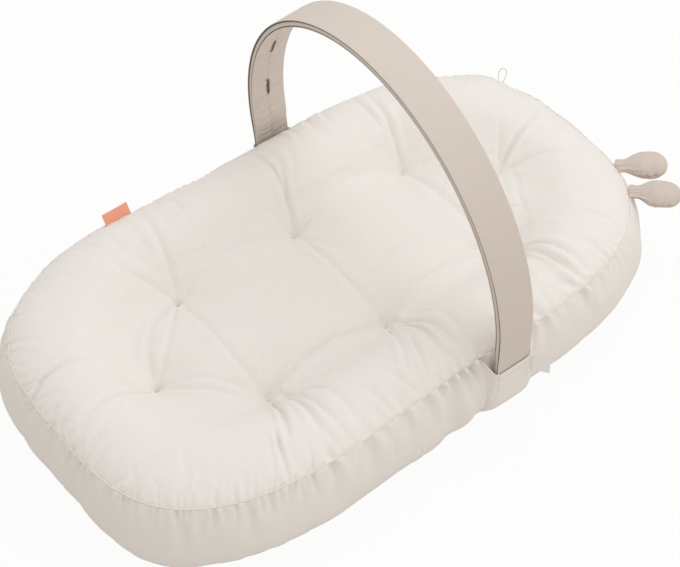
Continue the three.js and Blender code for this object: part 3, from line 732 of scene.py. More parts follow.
    def outline(self, angle: Array, inset: Array | float) -> Array:
        """Plan points of the outline moved in by an inset, on |x/a|^p + |y/b|^p = 1 with the waist drawn in.

        Args:
            angle: angles round the outline, 0 at the head end and positive to the far side.
            inset: how far inside the outline, or outside where it is negative.

        Returns:
            The points (x, y), in a last axis.
        """
        c, s = np.cos(angle), np.sin(angle)
        exponent = 2 / np.where(c < 0, self.foot_power, self.head_power)
        x = (self.half_length - inset) * np.sign(c) * np.abs(c) ** exponent
        y = (self.half_width - inset) * np.sign(s) * np.abs(s) ** exponent * self.waist(x)
        return np.stack([x, y], -1)

    def place_of(self, x: float, y: float) -> tuple[float, float]:
        """Finds the outline that passes through a plan point, by halving the range of its inset.

        Args:
            x: the point's place along the cushion.
            y: its place across the cushion.

        Returns:
            The outline's inset, and the point's angle on it.
        """
        power = self.foot_power if x < 0 else self.head_power
        across, along = abs(x), abs(y) / float(self.waist(np.array(x)))
        low, high = 0.0, self.half_width
        for _ in range(self.halvings):
            middle = (low + high) / 2
            inside = (across / (self.half_length - middle)) ** power + (along / (self.half_width - middle)) ** power < 1
            low, high = (middle, high) if inside else (low, middle)
        p, q = across / (self.half_length - low), along / (self.half_width - low)
        return low, math.atan2(q ** (power / 2), math.copysign(p ** (power / 2), x))

    def angles(self) -> Array:
        """Angles that lie evenly along the rim, the same on both sides of the middle line."""
        fine = np.linspace(0, np.pi, 8001)
        length = running_length(self.outline(fine, 0.03))
        half = np.interp(np.linspace(0, length[-1], self.columns // 2 + 1), length, fine)
        return np.concatenate([half, -half[-2:0:-1]])

    def tuft_ring(self, angle: Array) -> Array:
        """Inset of the ring that runs through all tufts, straight between two tufts' angles."""
        places = [self.place_of(*tuft) for tuft in self.tufts()[:5]]
        turn = np.abs(np.arctan2(np.sin(angle), np.cos(angle)))
        return np.interp(turn, [p[1] for p in places], [p[0] for p in places])

    def top_height(self, x: Array, y: Array, inset: Array, ring: Array) -> Array:
        """Height of the top: the rim's crown, its fall to the tuft ring, the pads, then creases and dimples.

        The crown rises as 1 - (1 - inset/crest)^p, and the pads as a parabola towards the middle line. Each tuft
        is a wide dimple exp(-(d/reach)^p) with a narrow pit exp(-d/reach) in it.

        Args:
            x: plan places along the cushion.
            y: plan places across it.
            inset: how far inside the seam each point is.
            ring: inset of the tuft ring at the same angle.

        Returns:
            The height at each point.
        """
        crown = self.seam_z + (self.crest_z - self.seam_z) * (
            1 - np.clip(1 - inset / self.crest_inset, 0, 1) ** self.crown_power
        )
        valley = self.valley_z + self.head_rise * smooth((x - 0.17) / 0.1)
        fall = self.crest_z + (valley - self.crest_z) * smooth((inset - self.crest_inset) / (ring - self.crest_inset))
        pad = valley + self.pad_rise * (1 - ((self.half_width - inset) / (self.half_width - ring)) ** 2)
        z = np.where(inset < self.crest_inset, crown, np.where(inset < ring, fall, pad))
        gaps = np.array([np.hypot(x - tx, y - ty) for tx, ty in self.tufts()])
        gap = gaps.min(0)
        creases = sum(fold.relief(x, y) for fold in self.folds())
        z = z + creases * (0.22 + 0.78 * smooth(gap / 0.02))
        share = np.where(np.argmin(gaps, 0) == 0, self.head_share, 1.0)
        z = z - share * self.dimple_depth * np.exp(-((gap / self.dimple_reach) ** self.dimple_power))
        return z - share * self.pit_depth * np.exp(-np.sqrt(gap**2 + (1.0 * MM) ** 2) / self.pit_reach)

    def side_profile(self, share: Array) -> tuple[Array, Array]:
        """The side in section: a parabola down to the bulge, then a quarter ellipse under it to the flat base.

        Args:
            share: 0 at the seam, 1 at the bulge and 2 at the base.

        Returns:
            How far out the side is, and its height.
        """
        out = self.bulge * (1 - (1 - share) ** 2)
        z = self.seam_z + (self.bulge_z - self.seam_z) * share
        turn = (share - 1) * np.pi / 2
        low_out = (self.bulge + self.base_inset) * np.cos(turn) - self.base_inset
        low_z = self.bulge_z * (1 - np.sin(turn))
        return np.where(share < 1, out, low_out), np.where(share < 1, z, low_z)

    def cover(self) -> Cover:
        """Works out the whole cover, before its padding has settled and without its gathers."""
        angle = self.angles()[None, :]
        ring = self.tuft_ring(angle)
        rim = np.linspace(0, 1, self.rim_rows)[:, None] ** 1.3
        pads = np.linspace(0, 1, self.pad_rows + 1)[1:, None]
        insets = np.concatenate([rim * ring, ring + pads * (self.half_width - ring)])[::-1]
        plan = self.outline(angle, insets)
        top_z = self.top_height(plan[..., 0], plan[..., 1], insets, np.broadcast_to(ring, insets.shape))
        top = np.concatenate([plan, top_z[..., None]], -1)
        share = 2 * np.linspace(0, 1, self.side_rows) ** self.side_ease
        out, z = self.side_profile(share[1:, None])
        band = self.outline(angle, -out)
        side = np.concatenate([band, np.broadcast_to(z, band.shape[:2])[..., None]], -1)
        inward = np.linspace(0, 1, self.base_rows + 1)[1:, None]
        base_plan = self.outline(angle, self.base_inset + inward * (self.half_width - self.base_inset))
        base = np.concatenate([base_plan, np.zeros(base_plan.shape[:2] + (1,))], -1)
        points = np.concatenate([top, side, base])
        seam_row = len(top) - 1
        down_far_side = running_length(points[:, self.columns // 4])
        from_seam = down_far_side - down_far_side[seam_row]
        base_seam = float(np.interp(self.base_seam_share, share, from_seam[seam_row:][: self.side_rows]))
        seam = running_length(np.concatenate([points[seam_row], points[seam_row, :1]]))
        return Cover(points, from_seam, seam[:-1], float(seam[-1]), base_seam)

    def faces(self, rows: int, columns: int) -> Array:
        """Quads of the grid, with both middle lines closed: a column and its mirror image share their points."""
        faces = grid_faces(rows, columns, wrap_columns=True)
        index = np.arange(rows * columns).reshape(rows, columns)
        mirror = np.minimum(np.arange(columns), (columns - np.arange(columns)) % columns)
        index[0], index[-1] = index[0][mirror], index[-1][mirror]
        return index.reshape(-1)[faces][:, ::-1]


@dataclass(frozen=True)
class Gathers:
    """The short wrinkles that run away from a seam where the panels are eased into it.

    Half is one half width for all of them, or None where each has its own.
    """

    pitch: float = 0.0105
    top_depth: float = 1.9 * MM
    band_depth: float = 3.4 * MM
    top_reach: float = 0.022
    band_reach: float = 0.03
    seed: int = 11
    half: float | None = None
    margin: float = 0.06

    def spread(self, length: float) -> Array:
        """Seeded wrinkles along a seam.

        Args:
            length: the seam's length.

        Returns:
            (n, 7) rows: place, lean on the top and on the band, reach on both, half width and strength.
        """
        rng = np.random.default_rng(self.seed)
        count = int(length / self.pitch)
        place = (np.arange(count) + rng.uniform(-0.35, 0.35, count)) * length / count
        lean_top = rng.normal(0, 0.22, count)
        lean_band = rng.normal(0, 0.16, count)
        strength = rng.uniform(0.25, 1, count) ** 1.3
        top = self.top_reach * rng.uniform(0.5, 1.5, count) * (0.6 + 0.6 * strength)
        band = self.band_reach * rng.uniform(0.5, 1.4, count) * (0.6 + 0.6 * strength)
        half = rng.uniform(1.5, 3.0, count) * MM * (0.8 + 0.4 * strength)
        if self.half is not None:
            half = np.full(count, self.half)
        return np.stack([place, lean_top, lean_band, top, band, half, strength], -1)

    def relief(self, cover: Cover, wrinkles: Array, seam: float = 0.0) -> Array:
        """Height of the wrinkles along the cover's normal.

        A wrinkle is a groove exp(-(a/w)^2) with a rounded puff on either side, where a is the distance across
        it and w grows with the distance d from the seam. It fades in over 1.5 mm and out as exp(-(d/reach)^1.6).

        Args:
            cover: the cover's grid.
            wrinkles: rows as spread gives them.
            seam: distance from the top seam of the seam that the wrinkles leave.

        Returns:
            (rows, columns) heights.
        """
        from_seam = cover.from_seam - seam
        total = np.zeros(cover.points.shape[:2])
        distance = np.abs(from_seam)[:, None]
        on_top = (from_seam < 0)[:, None]
        for place, lean_top, lean_band, top, band, half, strength in wrinkles:
            around = cover.beside(place)
            near = np.flatnonzero(np.abs(around) < self.margin)
            across = around[None, near] - np.where(on_top, lean_top, lean_band) * distance
            reach = np.where(on_top, top, band)
            wide = half * (1 + distance / 0.03)
            fade = (1 - np.exp(-distance / (1.5 * MM))) * np.exp(-((distance / reach) ** 1.6))
            groove = np.exp(-((across / wide) ** 2))
            puffs = np.exp(-(((np.abs(across) - 2.1 * wide) / (1.2 * wide)) ** 2))
            depth = np.where(on_top, self.top_depth, self.band_depth) * strength
            total[:, near] -= depth * fade * (groove - 0.38 * puffs)
        return total


@dataclass(frozen=True)
class Padding:
    """How the filling presses the cover out between its tufts and seams, worked out as cloth."""

    frames: int = 20
    pressure: float = 4.0
    spare_share: float = 0.026
    cap: float = 0.006

    def swell(self, points: Array, faces: Array, held: Array) -> Array:
        """Lets the cloth settle under pressure.

        Args:
            points: (n, 3) places.
            faces: (m, 4) indices.
            held: (n,) 1 where the cloth is sewn down or lies flat.

        Returns:
            (n, 3) moves, none longer than the cap.
        """
        obj = lay_mesh("padding_trial", points, faces)
        group = obj.vertex_groups.new(name="held")
        for weight in np.unique(held[held > 0]):
            group.add(np.flatnonzero(held == weight).tolist(), float(weight), "REPLACE")
        cloth = obj.modifiers.new("cloth", "CLOTH")
        settings = cloth.settings
        settings.quality = 6
        settings.mass = 0.25
        settings.tension_stiffness = 12
        settings.compression_stiffness = 12
        settings.shear_stiffness = 4
        settings.bending_stiffness = 0.25
        settings.use_pressure = True
        settings.uniform_pressure_force = self.pressure
        settings.shrink_min = -self.spare_share
        settings.vertex_group_mass = "held"
        settings.effector_weights.gravity = 0
        cloth.point_cache.frame_start = 1
        cloth.point_cache.frame_end = self.frames
        scene = bpy.context.scene
        for number in range(1, self.frames + 1):
            scene.frame_set(number)
        shaped = obj.evaluated_get(bpy.context.evaluated_depsgraph_get())
        after = np.zeros(len(points) * 3)
        shaped.data.vertices.foreach_get("co", after)
        scene.frame_set(1)
        bpy.data.objects.remove(obj)
        move = after.reshape(-1, 3) - points
        length = np.linalg.norm(move, axis=1, keepdims=True)
        return move * np.minimum(1, self.cap / np.maximum(length, 1e-9))


def doubled(grid: Array, axis: int, closed: bool) -> Array:
    """A grid with a point put between each two along an axis, on the cubic (-1, 9, 9, -1) / 16.

    Args:
        grid: the grid of values.
        axis: the axis that gets the new points.
        closed: whether the grid closes on itself along that axis.

    Returns:
        The finer grid.
    """
    moved = np.moveaxis(grid, axis, 0)
    if closed:
        wide = np.concatenate([moved[-1:], moved, moved[:2]])
    else:
        wide = np.concatenate([moved[:1], moved, moved[-1:]])
    between = (9 * (wide[1:-2] + wide[2:-1]) - wide[:-3] - wide[3:]) / 16
    out = np.empty((len(moved) * 2 if closed else len(moved) * 2 - 1,) + moved.shape[1:])
    out[::2] = moved
    out[1::2] = between
    return np.moveaxis(out, 0, axis)


def surface_normals(points: Array) -> Array:
    """Outward unit normals of the cushion's grid, from the differences along its rows and columns."""
    around = np.roll(points, -1, 1) - np.roll(points, 1, 1)
    return unit(np.cross(np.gradient(points, axis=0), around))


class Crumple(NamedTuple):
    """A larger wrinkle across the top seam: x and the side, then as Gathers.spread gives its wrinkles."""

    x: float
    side: Side
    lean_top: float
    lean_band: float
    top: float
    band: float
    half: float
    strength: float


@dataclass(frozen=True)
class Sag:
    """Where the cover lies in or stands out near the top seam.

    X and y are the plan place on the seam, start and end the reach from the seam, negative on the top, swing the
    height and width the half width along the seam.
    """

    x: float
    y: float
    start: float
    end: float
    swing: float
    width: float

    def relief(self, cover: Cover) -> Array:
        """Height over the cover: swing exp(-(a/width)^2) exp(-((d - middle)/half)^2), a along and d from the seam."""
        middle, half = (self.start + self.end) / 2, (self.end - self.start) / 2
        window = np.exp(-(((cover.from_seam - middle) / half) ** 2))[:, None]
        around = cover.beside(cover.place_near(self.x, self.y))
        return self.swing * np.exp(-((around / self.width) ** 2))[None, :] * window


@dataclass
class CushionMaker:
    """Builds the cushion's cover, its seams' welts and the stitches of its tufts."""

    plan: Cushion
    padding: Padding
    gathers: Gathers = Gathers()
    pinches: Gathers = Gathers(0.021, 3.4 * MM, 4.2 * MM, 0.012, 0.017, 13, 1.6 * MM)
    low_gathers: Gathers = Gathers(pitch=0.017, top_depth=1.2 * MM, band_depth=0.6 * MM, seed=12)
    slack: float = 1.2 * MM
    belly: float = 1.4 * MM
    seam_dip: float = 0.9 * MM
    seam_reach: float = 2.0 * MM
    welt: float = 0.75 * MM
    rim_y: float = 0.215
    pocket_x: float = 0.083
    top_swell: float = 0.5
    side_swell: float = 0.28

    @staticmethod
    def crumples() -> list[Crumple]:
        """The larger wrinkles across the top seam that the photograph shows."""
        near, far = Side.NEAR, Side.FAR
        rows = [
            (0.05, near, 0.0, 0.1, 0.012, 0.06, 0.004, 1.7),
            (0.036, near, 0.3, 0.2, 0.02, 0.075, 0.0034, 2.2),
            (0.03, near, 0.0, 0.42, 0.006, 0.085, 0.003, 2.0),
            (0.018, near, 0.2, 0.25, 0.016, 0.08, 0.0034, 2.2),
            (0.004, near, 0.3, -0.06, 0.016, 0.075, 0.0038, 2.3),
            (-0.012, near, 0.2, 0.12, 0.014, 0.06, 0.0034, 1.8),
            (-0.034, near, 0.1, 0.1, 0.012, 0.045, 0.0046, 1.5),
            (-0.066, near, 0.2, 0.1, 0.018, 0.04, 0.0042, 1.2),
            (-0.12, near, 0.0, 0.05, 0.016, 0.045, 0.0044, 1.4),
            (-0.168, near, -0.2, 0.0, 0.024, 0.04, 0.004, 1.5),
            (0.124, near, 0.0, -0.2, 0.016, 0.05, 0.0044, 1.4),
            (0.142, near, -0.1, -0.1, 0.022, 0.042, 0.004, 1.3),
            (0.205, near, -0.2, 0.1, 0.03, 0.04, 0.004, 1.3),
            (0.124, far, 0.0, -0.1, 0.024, 0.05, 0.0046, 1.4),
            (0.044, far, 0.1, 0.2, 0.026, 0.05, 0.0046, 1.5),
        ]
        return [Crumple(*row) for row in rows]

    @staticmethod
    def sags() -> list[Sag]:
        """Where the photograph shows the cover lying in or standing out."""
        return [
            Sag(-0.1, 0.21, -0.045, 0.04, -4.0 * MM, 0.085),
            Sag(-0.32, 0.17, -0.04, 0.04, -2.0 * MM, 0.06),
            Sag(0.22, 0.21, -0.045, 0.04, -3.0 * MM, 0.06),
            Sag(0.315, 0.17, -0.045, 0.04, -6.0 * MM, 0.055),
            Sag(-0.381, -0.02, 0.03, 0.13, -4.0 * MM, 0.06),
            Sag(-0.35, -0.165, 0.04, 0.14, 4.5 * MM, 0.05),
            Sag(-0.2, -0.22, 0.05, 0.14, 2.0 * MM, 0.08),
            Sag(-0.02, -0.21, 0.04, 0.14, 4.0 * MM, 0.055),
            Sag(0.33, -0.16, 0.03, 0.14, 3.0 * MM, 0.055),
            Sag(0.372, 0.092, -0.04, 0.035, -4.5 * MM, 0.028),
            Sag(0.381, -0.02, 0.02, 0.1, -2.0 * MM, 0.05),
        ]

    def shape(self) -> Cover:
        """The cover after the padding has settled, with its gathers along both seams."""
        cover = self.plan.cover()
        cover = replace(cover, points=cover.points + self.settled(cover.points))
        clear = self.clear_of_pocket(cover)
        lift = self.gathered(cover, clear) + self.waved(cover) * clear
        for sag in self.sags():
            lift = lift + sag.relief(cover)
        hollow = self.seam_dip * np.exp(-np.abs(cover.from_seam) / self.seam_reach)[:, None]
        hollow = hollow + self.seam_dip * np.exp(-np.abs(cover.from_seam - cover.base_seam) / self.seam_reach)[:, None]
        lift[cover.from_seam > cover.base_seam + 1.0 * MM] = 0
        normals = surface_normals(cover.points)
        return replace(cover, points=cover.points + normals * (lift - hollow)[..., None])

    def gathered(self, cover: Cover, clear: Array) -> Array:
        """Height of all wrinkles: gathers, the sharper pinches of both ends, crumples, and the base seam's own.

        Args:
            cover: the cover's grid.
            clear: 1 away from the pockets and 0 behind them.

        Returns:
            The height at each point.
        """
        lift = self.gathers.relief(cover, self.gathers.spread(cover.length)) * (self.gather_strength(cover) * clear)
        lift = lift + self.pinches.relief(cover, self.pinches.spread(cover.length)) * self.pinch_strength(cover)
        places = [cover.place_near(c.x, c.side.value * self.rim_y) for c in self.crumples()]
        crossing = np.array([[place, *crumple[2:]] for place, crumple in zip(places, self.crumples())])
        lift = lift + self.gathers.relief(cover, crossing) * clear
        low = self.low_gathers.relief(cover, self.low_gathers.spread(cover.length), cover.base_seam)
        return lift + low * clear * (cover.from_seam > 0.02)[:, None]

    def waved(self, cover: Cover) -> Array:
        """Height of the long slow waves: the seam's slack, exp(-d/50 mm), and the side's belly between its seams."""
        slack = ripple(cover.places, cover.length, 60 * MM, 170 * MM, 8)[None, :]
        slack = slack * np.exp(-np.abs(cover.from_seam) / 0.05)[:, None]
        belly = ripple(cover.places, cover.length, 45 * MM, 150 * MM, 9)[None, :]
        belly = belly * np.sin(np.pi * np.clip(cover.from_seam / cover.base_seam, 0, 1))[:, None]
        return self.slack * slack + self.belly * belly

    @staticmethod
    def gather_strength(cover: Cover) -> Array:
        """How much the cloth is gathered: most at the foot end and on the near side."""
        x, y = cover.points[..., 0], cover.points[..., 1]
        foot = smooth((-x - 0.1) / 0.16)
        near = smooth((0.05 - y) / 0.15) * 0.5
        head = smooth((x - 0.2) / 0.1) * 0.5
        return np.maximum(np.maximum(foot, near), np.maximum(head, 0.4))

    @staticmethod
    def pinch_strength(cover: Cover) -> Array:
        """1 round the foot end, about a third at the head end and 0 between them."""
        x = cover.points[..., 0]
        return np.maximum(smooth((-x - 0.14) / 0.08), 0.35 * smooth((x - 0.27) / 0.06))

    def clear_of_pocket(self, cover: Cover) -> Array:
        """1 away from the pockets, 0 on the band behind them."""
        x, y = cover.points[..., 0], cover.points[..., 1]
        behind = smooth((0.046 - np.abs(x - self.pocket_x)) / 0.012) * smooth(cover.from_seam / 0.02)[:, None]
        return 1 - behind * (np.abs(y) > 0.1)

    def settled(self, points: Array) -> Array:
        """How far the padding moves each point: worked out on every other row and column, then filled in.

        The tufts, the seam, the flat base and the cloth behind the pockets are held.

        Args:
            points: (rows, columns, 3) places of the cover.

        Returns:
            A grid of the same shape.
        """
        rows = points.shape[0] - (1 - points.shape[0] % 2)
        coarse = points[:rows:2, ::2]
        tufts = self.plan.tufts()
        x, y, z = (coarse[..., k] for k in range(3))
        gap = np.min([np.hypot(x - tx, y - ty) for tx, ty in tufts], axis=0)
        seam = np.zeros(coarse.shape[:2])
        seam_row = (self.plan.rim_rows + self.plan.pad_rows - 1) // 2
        seam[seam_row] = 1
        pocket = (np.abs(x - self.pocket_x) < 0.035) & (np.abs(y) > 0.18) & (z < 0.112)
        held = np.where((gap < 0.006) & (z > 0.05), 1.0, 0.0)
        held = np.where((z < 0.004) | pocket | (seam > 0), 1.0, held)
        faces = self.plan.faces(*coarse.shape[:2])
        move = self.padding.swell(coarse.reshape(-1, 3), faces, held.reshape(-1)).reshape(coarse.shape)
        mirror = np.arange(coarse.shape[1])
        mirror = np.minimum(mirror, (coarse.shape[1] - mirror) % coarse.shape[1])
        move[0], move[-1] = move[0][mirror], move[-1][mirror]
        move = move * np.where(z < self.plan.seam_z - 0.004, self.side_swell, self.top_swell)[..., None]
        full = doubled(doubled(move, 0, False), 1, True)
        if rows < points.shape[0]:
            full = np.concatenate([full, np.zeros_like(full[:1])])
        return full

    def build(self, cotton: Material, thread: Material) -> None:
        """Lays the cover, both welts and the tufts' stitches.

        Args:
            cotton: the cover's cloth.
            thread: the tufts' thread.
        """
        shape = self.shape()
        points, from_seam = shape.points, shape.from_seam
        rows, columns = points.shape[:2]
        closed = np.concatenate([points, points[:, :1]], 1)
        flat = grid_uv(closed[..., 0], closed[..., 1])
        sides = grid_uv(np.append(shape.places, shape.length)[None, :], from_seam[:, None])
        row_of_face = np.repeat(np.arange(rows - 1), columns)
        last_side = shape.seam_row + self.plan.side_rows - 1
        on_side = (row_of_face >= shape.seam_row) & (row_of_face < last_side)
        uv = np.where(on_side[:, None, None], sides, flat)[:, ::-1]
        cover = lay_mesh("tufted_cushion", points, self.plan.faces(rows, columns), uv)
        settle(
            cover, "cushion", "cover_cotton", cotton,
            "fibre_filling", "top_panel", "side_band_foot", "side_band_head", "base_panel",
        )
        outward = surface_normals(points)
        low_row = shape.row_at(shape.base_seam)
        for name, row, radius in (
            ("top_seam_welt", shape.seam_row, self.welt), ("base_seam_welt", low_row, self.welt * 0.8)
        ):
            path = points[row] + outward[row] * (radius * 1.1)
            settle(tube(name, path, radius, 10, True, UP), "cushion", "cover_cotton", cotton)
        self.stitch_tufts(points, thread)

    def stitch_tufts(self, points: Array, thread: Material) -> None:
        """A cross of two stitches in each tuft's pit, the thread through the cushion, and a cross under the base.

        Args:
            points: the cover's grid.
            thread: the stitches' thread.
        """
        flat = points.reshape(-1, 3)
        for number, (x, y) in enumerate(self.plan.tufts(), 1):
            near = flat[(np.hypot(flat[:, 0] - x, flat[:, 1] - y) < 0.0025) & (flat[:, 2] > 0.05)]
            top = float(near[:, 2].mean()) + 0.1 * MM
            parts = []
            share = np.linspace(-1, 1, 13)
            for heading in (0.6, 0.6 + np.pi / 2):
                for level, rise in ((top, 1.0), (0.6 * MM, 0.0)):
                    run = share * 1.9 * MM
                    height = level + rise * (0.35 * MM * (1 - share**2) - 0.5 * MM * np.abs(share) ** 6)
                    path = np.stack([x + run * np.cos(heading), y + run * np.sin(heading), height], -1)
                    parts.append(tube("stitch", path, 0.35 * MM, 8, False, UP))
            column = np.stack([np.full(8, x), np.full(8, y), np.linspace(0.6 * MM, top, 8)], -1)
            parts.append(tube("thread", column, 0.5 * MM, 8, False, np.array([1.0, 0.0, 0.0])))
            knot = joined(f"tuft_stitch_{number}", parts)
            settle(knot, "cushion", "thread", thread, f"tuft_tie_{number}")


# Arch


@dataclass(frozen=True)
class Arch:
    """The linen arch: two plies over a springy strip, standing in the pockets and leaning to the foot end.

    Heights are above the pockets' mouths. The plies meet at split, nearer the outer face, and fullness is how much
    thicker the inner ply is above the pockets.
    """

    middle_x: float = 0.083
    mouth_z: float = 0.098
    lean: float = math.radians(3.6)
    width: float = 0.048
    thickness: float = 0.006
    fullness: float = 0.0034
    split: float = 0.0019
    rise: float = 0.333
    flare: float = 0.003
    flare_rise: float = 0.065
    floor: float = -0.0605
    leg_y: float = 0.228
    steps: int = 640

    def half_span(self, height: Array) -> Array:
        """Half the span at a height above the mouths: a short flare, then a quarter ellipse to the crest."""
        share = np.clip((height - self.flare_rise) / (self.rise - self.flare_rise), 0, 1)
        upper = (self.leg_y + self.flare) * np.sqrt(1 - share**2)
        lower = self.leg_y + self.flare * smooth(height / self.flare_rise)
        return np.where(height < self.flare_rise, lower, upper)

    def line(self) -> Array:
        """(n, 2) points (y, height) along the arch from the near leg's end over the crest to the far leg's."""
        legs = np.linspace(self.floor, self.flare_rise, 200)[:-1]
        turn = np.linspace(0, np.pi / 2, 400)
        height = np.concatenate([legs, self.flare_rise + (self.rise - self.flare_rise) * np.sin(turn)])
        near = np.stack([-self.half_span(height), height], -1)
        near[-1, 0] = 0
        far = near[:-1][::-1] * [-1, 1]
        return even_path(np.concatenate([near, far]), self.steps)

    def to_frame(self, local: Array) -> Array:
        """Local points (across, y, height) turned by the lean about Y and set at the mouths."""
        x, y, h = local[..., 0], local[..., 1], local[..., 2]
        c, s = math.cos(self.lean), math.sin(self.lean)
        return np.stack([self.middle_x + x * c - h * s, y, self.mouth_z + x * s + h * c], -1)

    def room(self, height: Array) -> Array:
        """How much further in the inner ply's face lies above the pockets, where nothing presses it flat."""
        return self.fullness * smooth((height - 0.018) / 0.03)

    def normals(self, line: Array) -> Array:
        """Outward unit normals of the line, in its own plane."""
        along = unit(np.gradient(line, axis=0))
        return np.stack([-along[:, 1], along[:, 0]], -1)

    def swept(self, section: Array, name: str) -> Object:
        """Carries a closed section along the arch.

        Args:
            section: (n, m, 2) grid of (across, outward) for each station.
            name: the piece's name.

        Returns:
            The new object. Its two ends are closed by drawing them in.
        """
        line = self.line()
        normal = self.normals(line)
        y = line[:, None, 0] + normal[:, None, 0] * section[..., 1]
        h = line[:, None, 1] + normal[:, None, 1] * section[..., 1]
        points = self.to_frame(np.stack([section[..., 0], y, h], -1))
        near, far = (np.broadcast_to(end.mean(1, keepdims=True), end.shape) for end in (points[:1], points[-1:]))
        points = np.concatenate([near, points, far])
        faces = grid_faces(*points.shape[:2], wrap_columns=True)
        along = running_length(line)
        along = np.concatenate([[along[0]], along, [along[-1]]])[:, None]
        girth = running_length(np.concatenate([section[0], section[0][:1]]))[None, :]
        return lay_mesh(name, points, faces[:, ::-1], grid_uv(along, girth)[:, ::-1])


@dataclass
class ArchMaker:
    """Builds the arch's plies, its stitching and its buttonholes."""

    arch: Arch
    heights: tuple[float, float] = (0.097, 0.184)
    hole_length: float = 0.028
    hole_width: float = 0.0044
    edge_radius: float = 0.35 * MM
    fold_in: float = 2.6 * MM
    fine: int = 4000

    # The edge in section, in mm: across from the band's edge, and out from the plies' split or from the line.
    OUTER_NOSE = ((-2.6, 0.1), (-1.5, 0.2), (-0.35, 0.3), (-0.04, 0.45))
    INNER_NOSE = ((-2.6, 0.1), (-1.8, 0.5), (-1.0, 0.9), (-0.5, 1.4), (-0.15, 2.0), (0, 2.6))
    INNER_LINE = ((0, -0.6), (-0.3, -0.45), (-1.8, -0.2), (-1.8, 0.1), (-0.3, 0.3), (0, 0.42))

    def ply_edge(self, sign: float, split: float, deep: float) -> list[tuple[float, float]]:
        """A ply's edge from the split to its face: the nose, the inner ply's fine line, and a rounded fold.

        Args:
            sign: 1 for the outer ply, -1 for the inner one.
            split: depth at which the plies meet.
            deep: depth of the ply's face.

        Returns:
            Points (across from the band's edge, depth).
        """
        nose = self.OUTER_NOSE if sign > 0 else self.INNER_NOSE
        edge = [(x * MM, split + d * MM) for x, d in nose]
        if sign < 0:
            edge += [(x * MM, deep - 0.8 * MM + d * MM) for x, d in self.INNER_LINE]
        radius = self.edge_radius
        turn = np.linspace(0, np.pi / 2, 5)
        return edge + [(-radius + radius * math.cos(t), deep - radius + radius * math.sin(t)) for t in turn]

    def ply_section(self, sign: float, puckers: Array, crown: float) -> Array:
        """A ply's section at each station: its face, its two edges, and back inside along the other ply.

        The face swells by crown * (1 - (x/w)^4), puckers move it in and out, and the inner ply is let out by the
        arch's room above the pockets.

        Args:
            sign: 1 for the outer ply, -1 for the inner one.
            puckers: (steps, n) outward moves of the face, across the band.
            crown: how far the middle of the face stands out.

        Returns:
            (steps, m, 2) grid of (across, outward).
        """
        a = self.arch
        wide, deep, split = a.width / 2, a.thickness / 2 - crown, sign * a.split
        right = self.ply_edge(sign, split, deep)
        face = [(x, deep) for x in np.linspace(wide - self.edge_radius, self.edge_radius - wide, 23)[1:-1]]
        outline = [(wide + x, d) for x, d in right] + face + [(-wide - x, d) for x, d in right[::-1]]
        inside = np.linspace(self.fold_in - wide, wide - self.fold_in, 6)[1:-1]
        points = np.array(outline + [(x, split + 0.1 * MM) for x in inside])
        grid = np.broadcast_to(points, (a.steps,) + points.shape).copy()
        count = len(outline)
        x = points[:count, 0]
        inwards = np.clip((points[:count, 1] - split) / (deep - split), 0, 1)
        across = np.linspace(0, 1, puckers.shape[1])
        rows = np.stack([np.interp((x + wide) / a.width, across, row) for row in puckers])
        grid[:, :count, 1] += inwards**2 * (crown * (1 - (np.abs(x) / wide) ** 4) + rows)
        if sign < 0:
            grid[:, :count, 1] += inwards * a.room(a.line()[:, 1])[:, None]
        grid[..., 1] *= sign
        return grid[:, ::-1] if sign < 0 else grid

    def puckers(self, size: float, seed: int, columns: int = 60) -> Array:
        """Crosswise puckers along the arch: one ripple at the left edge that turns into another at the right.

        Args:
            size: height of the highest.
            seed: picks the ripples.
            columns: places across the band.

        Returns:
            (steps, columns) heights.
        """
        a = self.arch
        place = running_length(a.line())
        length = place[-1]
        across = np.linspace(0, 1, columns)[None, :]
        left = ripple(place, length, 9 * MM, 30 * MM, seed)[:, None]
        right = ripple(place, length, 9 * MM, 30 * MM, seed + 1)[:, None]
        return size * (left * (1 - across) + right * across)

    def build(self, linen: Material, thread: Material) -> None:
        """Lays both plies, the dark strips that paint the shade in their grooves, the stitching, and the buttonholes
        with their slits' painted shadow, and dresses the strip.

        Args:
            linen: the plies' cloth.
            thread: the stitching's thread.
        """
        a = self.arch
        outer = self.ply_section(1, self.puckers(0.12 * MM, 21), 0.2 * MM)
        settle(a.swept(outer, "arch_outer_linen"), "arch", "linen", linen, "arch_outer_band")
        inner = self.ply_section(-1, self.inner_puckers(), 0.3 * MM)
        settle(a.swept(inner, "arch_inner_linen"), "arch", "linen", linen, "arch_inner_band")
        # These strips are dressed in painted shade: near-black linen that stands for the shade in the grooves between
        # the plies.
        settle(self.painted_shade_allowance(), "arch", "linen", GROOVE_SHADE_LINEN.material())
        settle(self.stitches(), "arch", "thread", thread)
        dress(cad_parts["arch_core"], SPRING_STRIP.material())
        brown, dark = BROWN_THREAD.material(), SLIT_SHADOW.material()
        for number, place in enumerate(self.hole_frames(), 1):
            settle(self.buttonhole(number, place), "arch", "buttonhole_thread", brown, f"buttonhole_{number}")
            # The slit's strip is dressed in painted shadow, a near-black colour for the shade in the cut.
            settle(self.slit(number, place), "arch", "buttonhole_thread", dark)

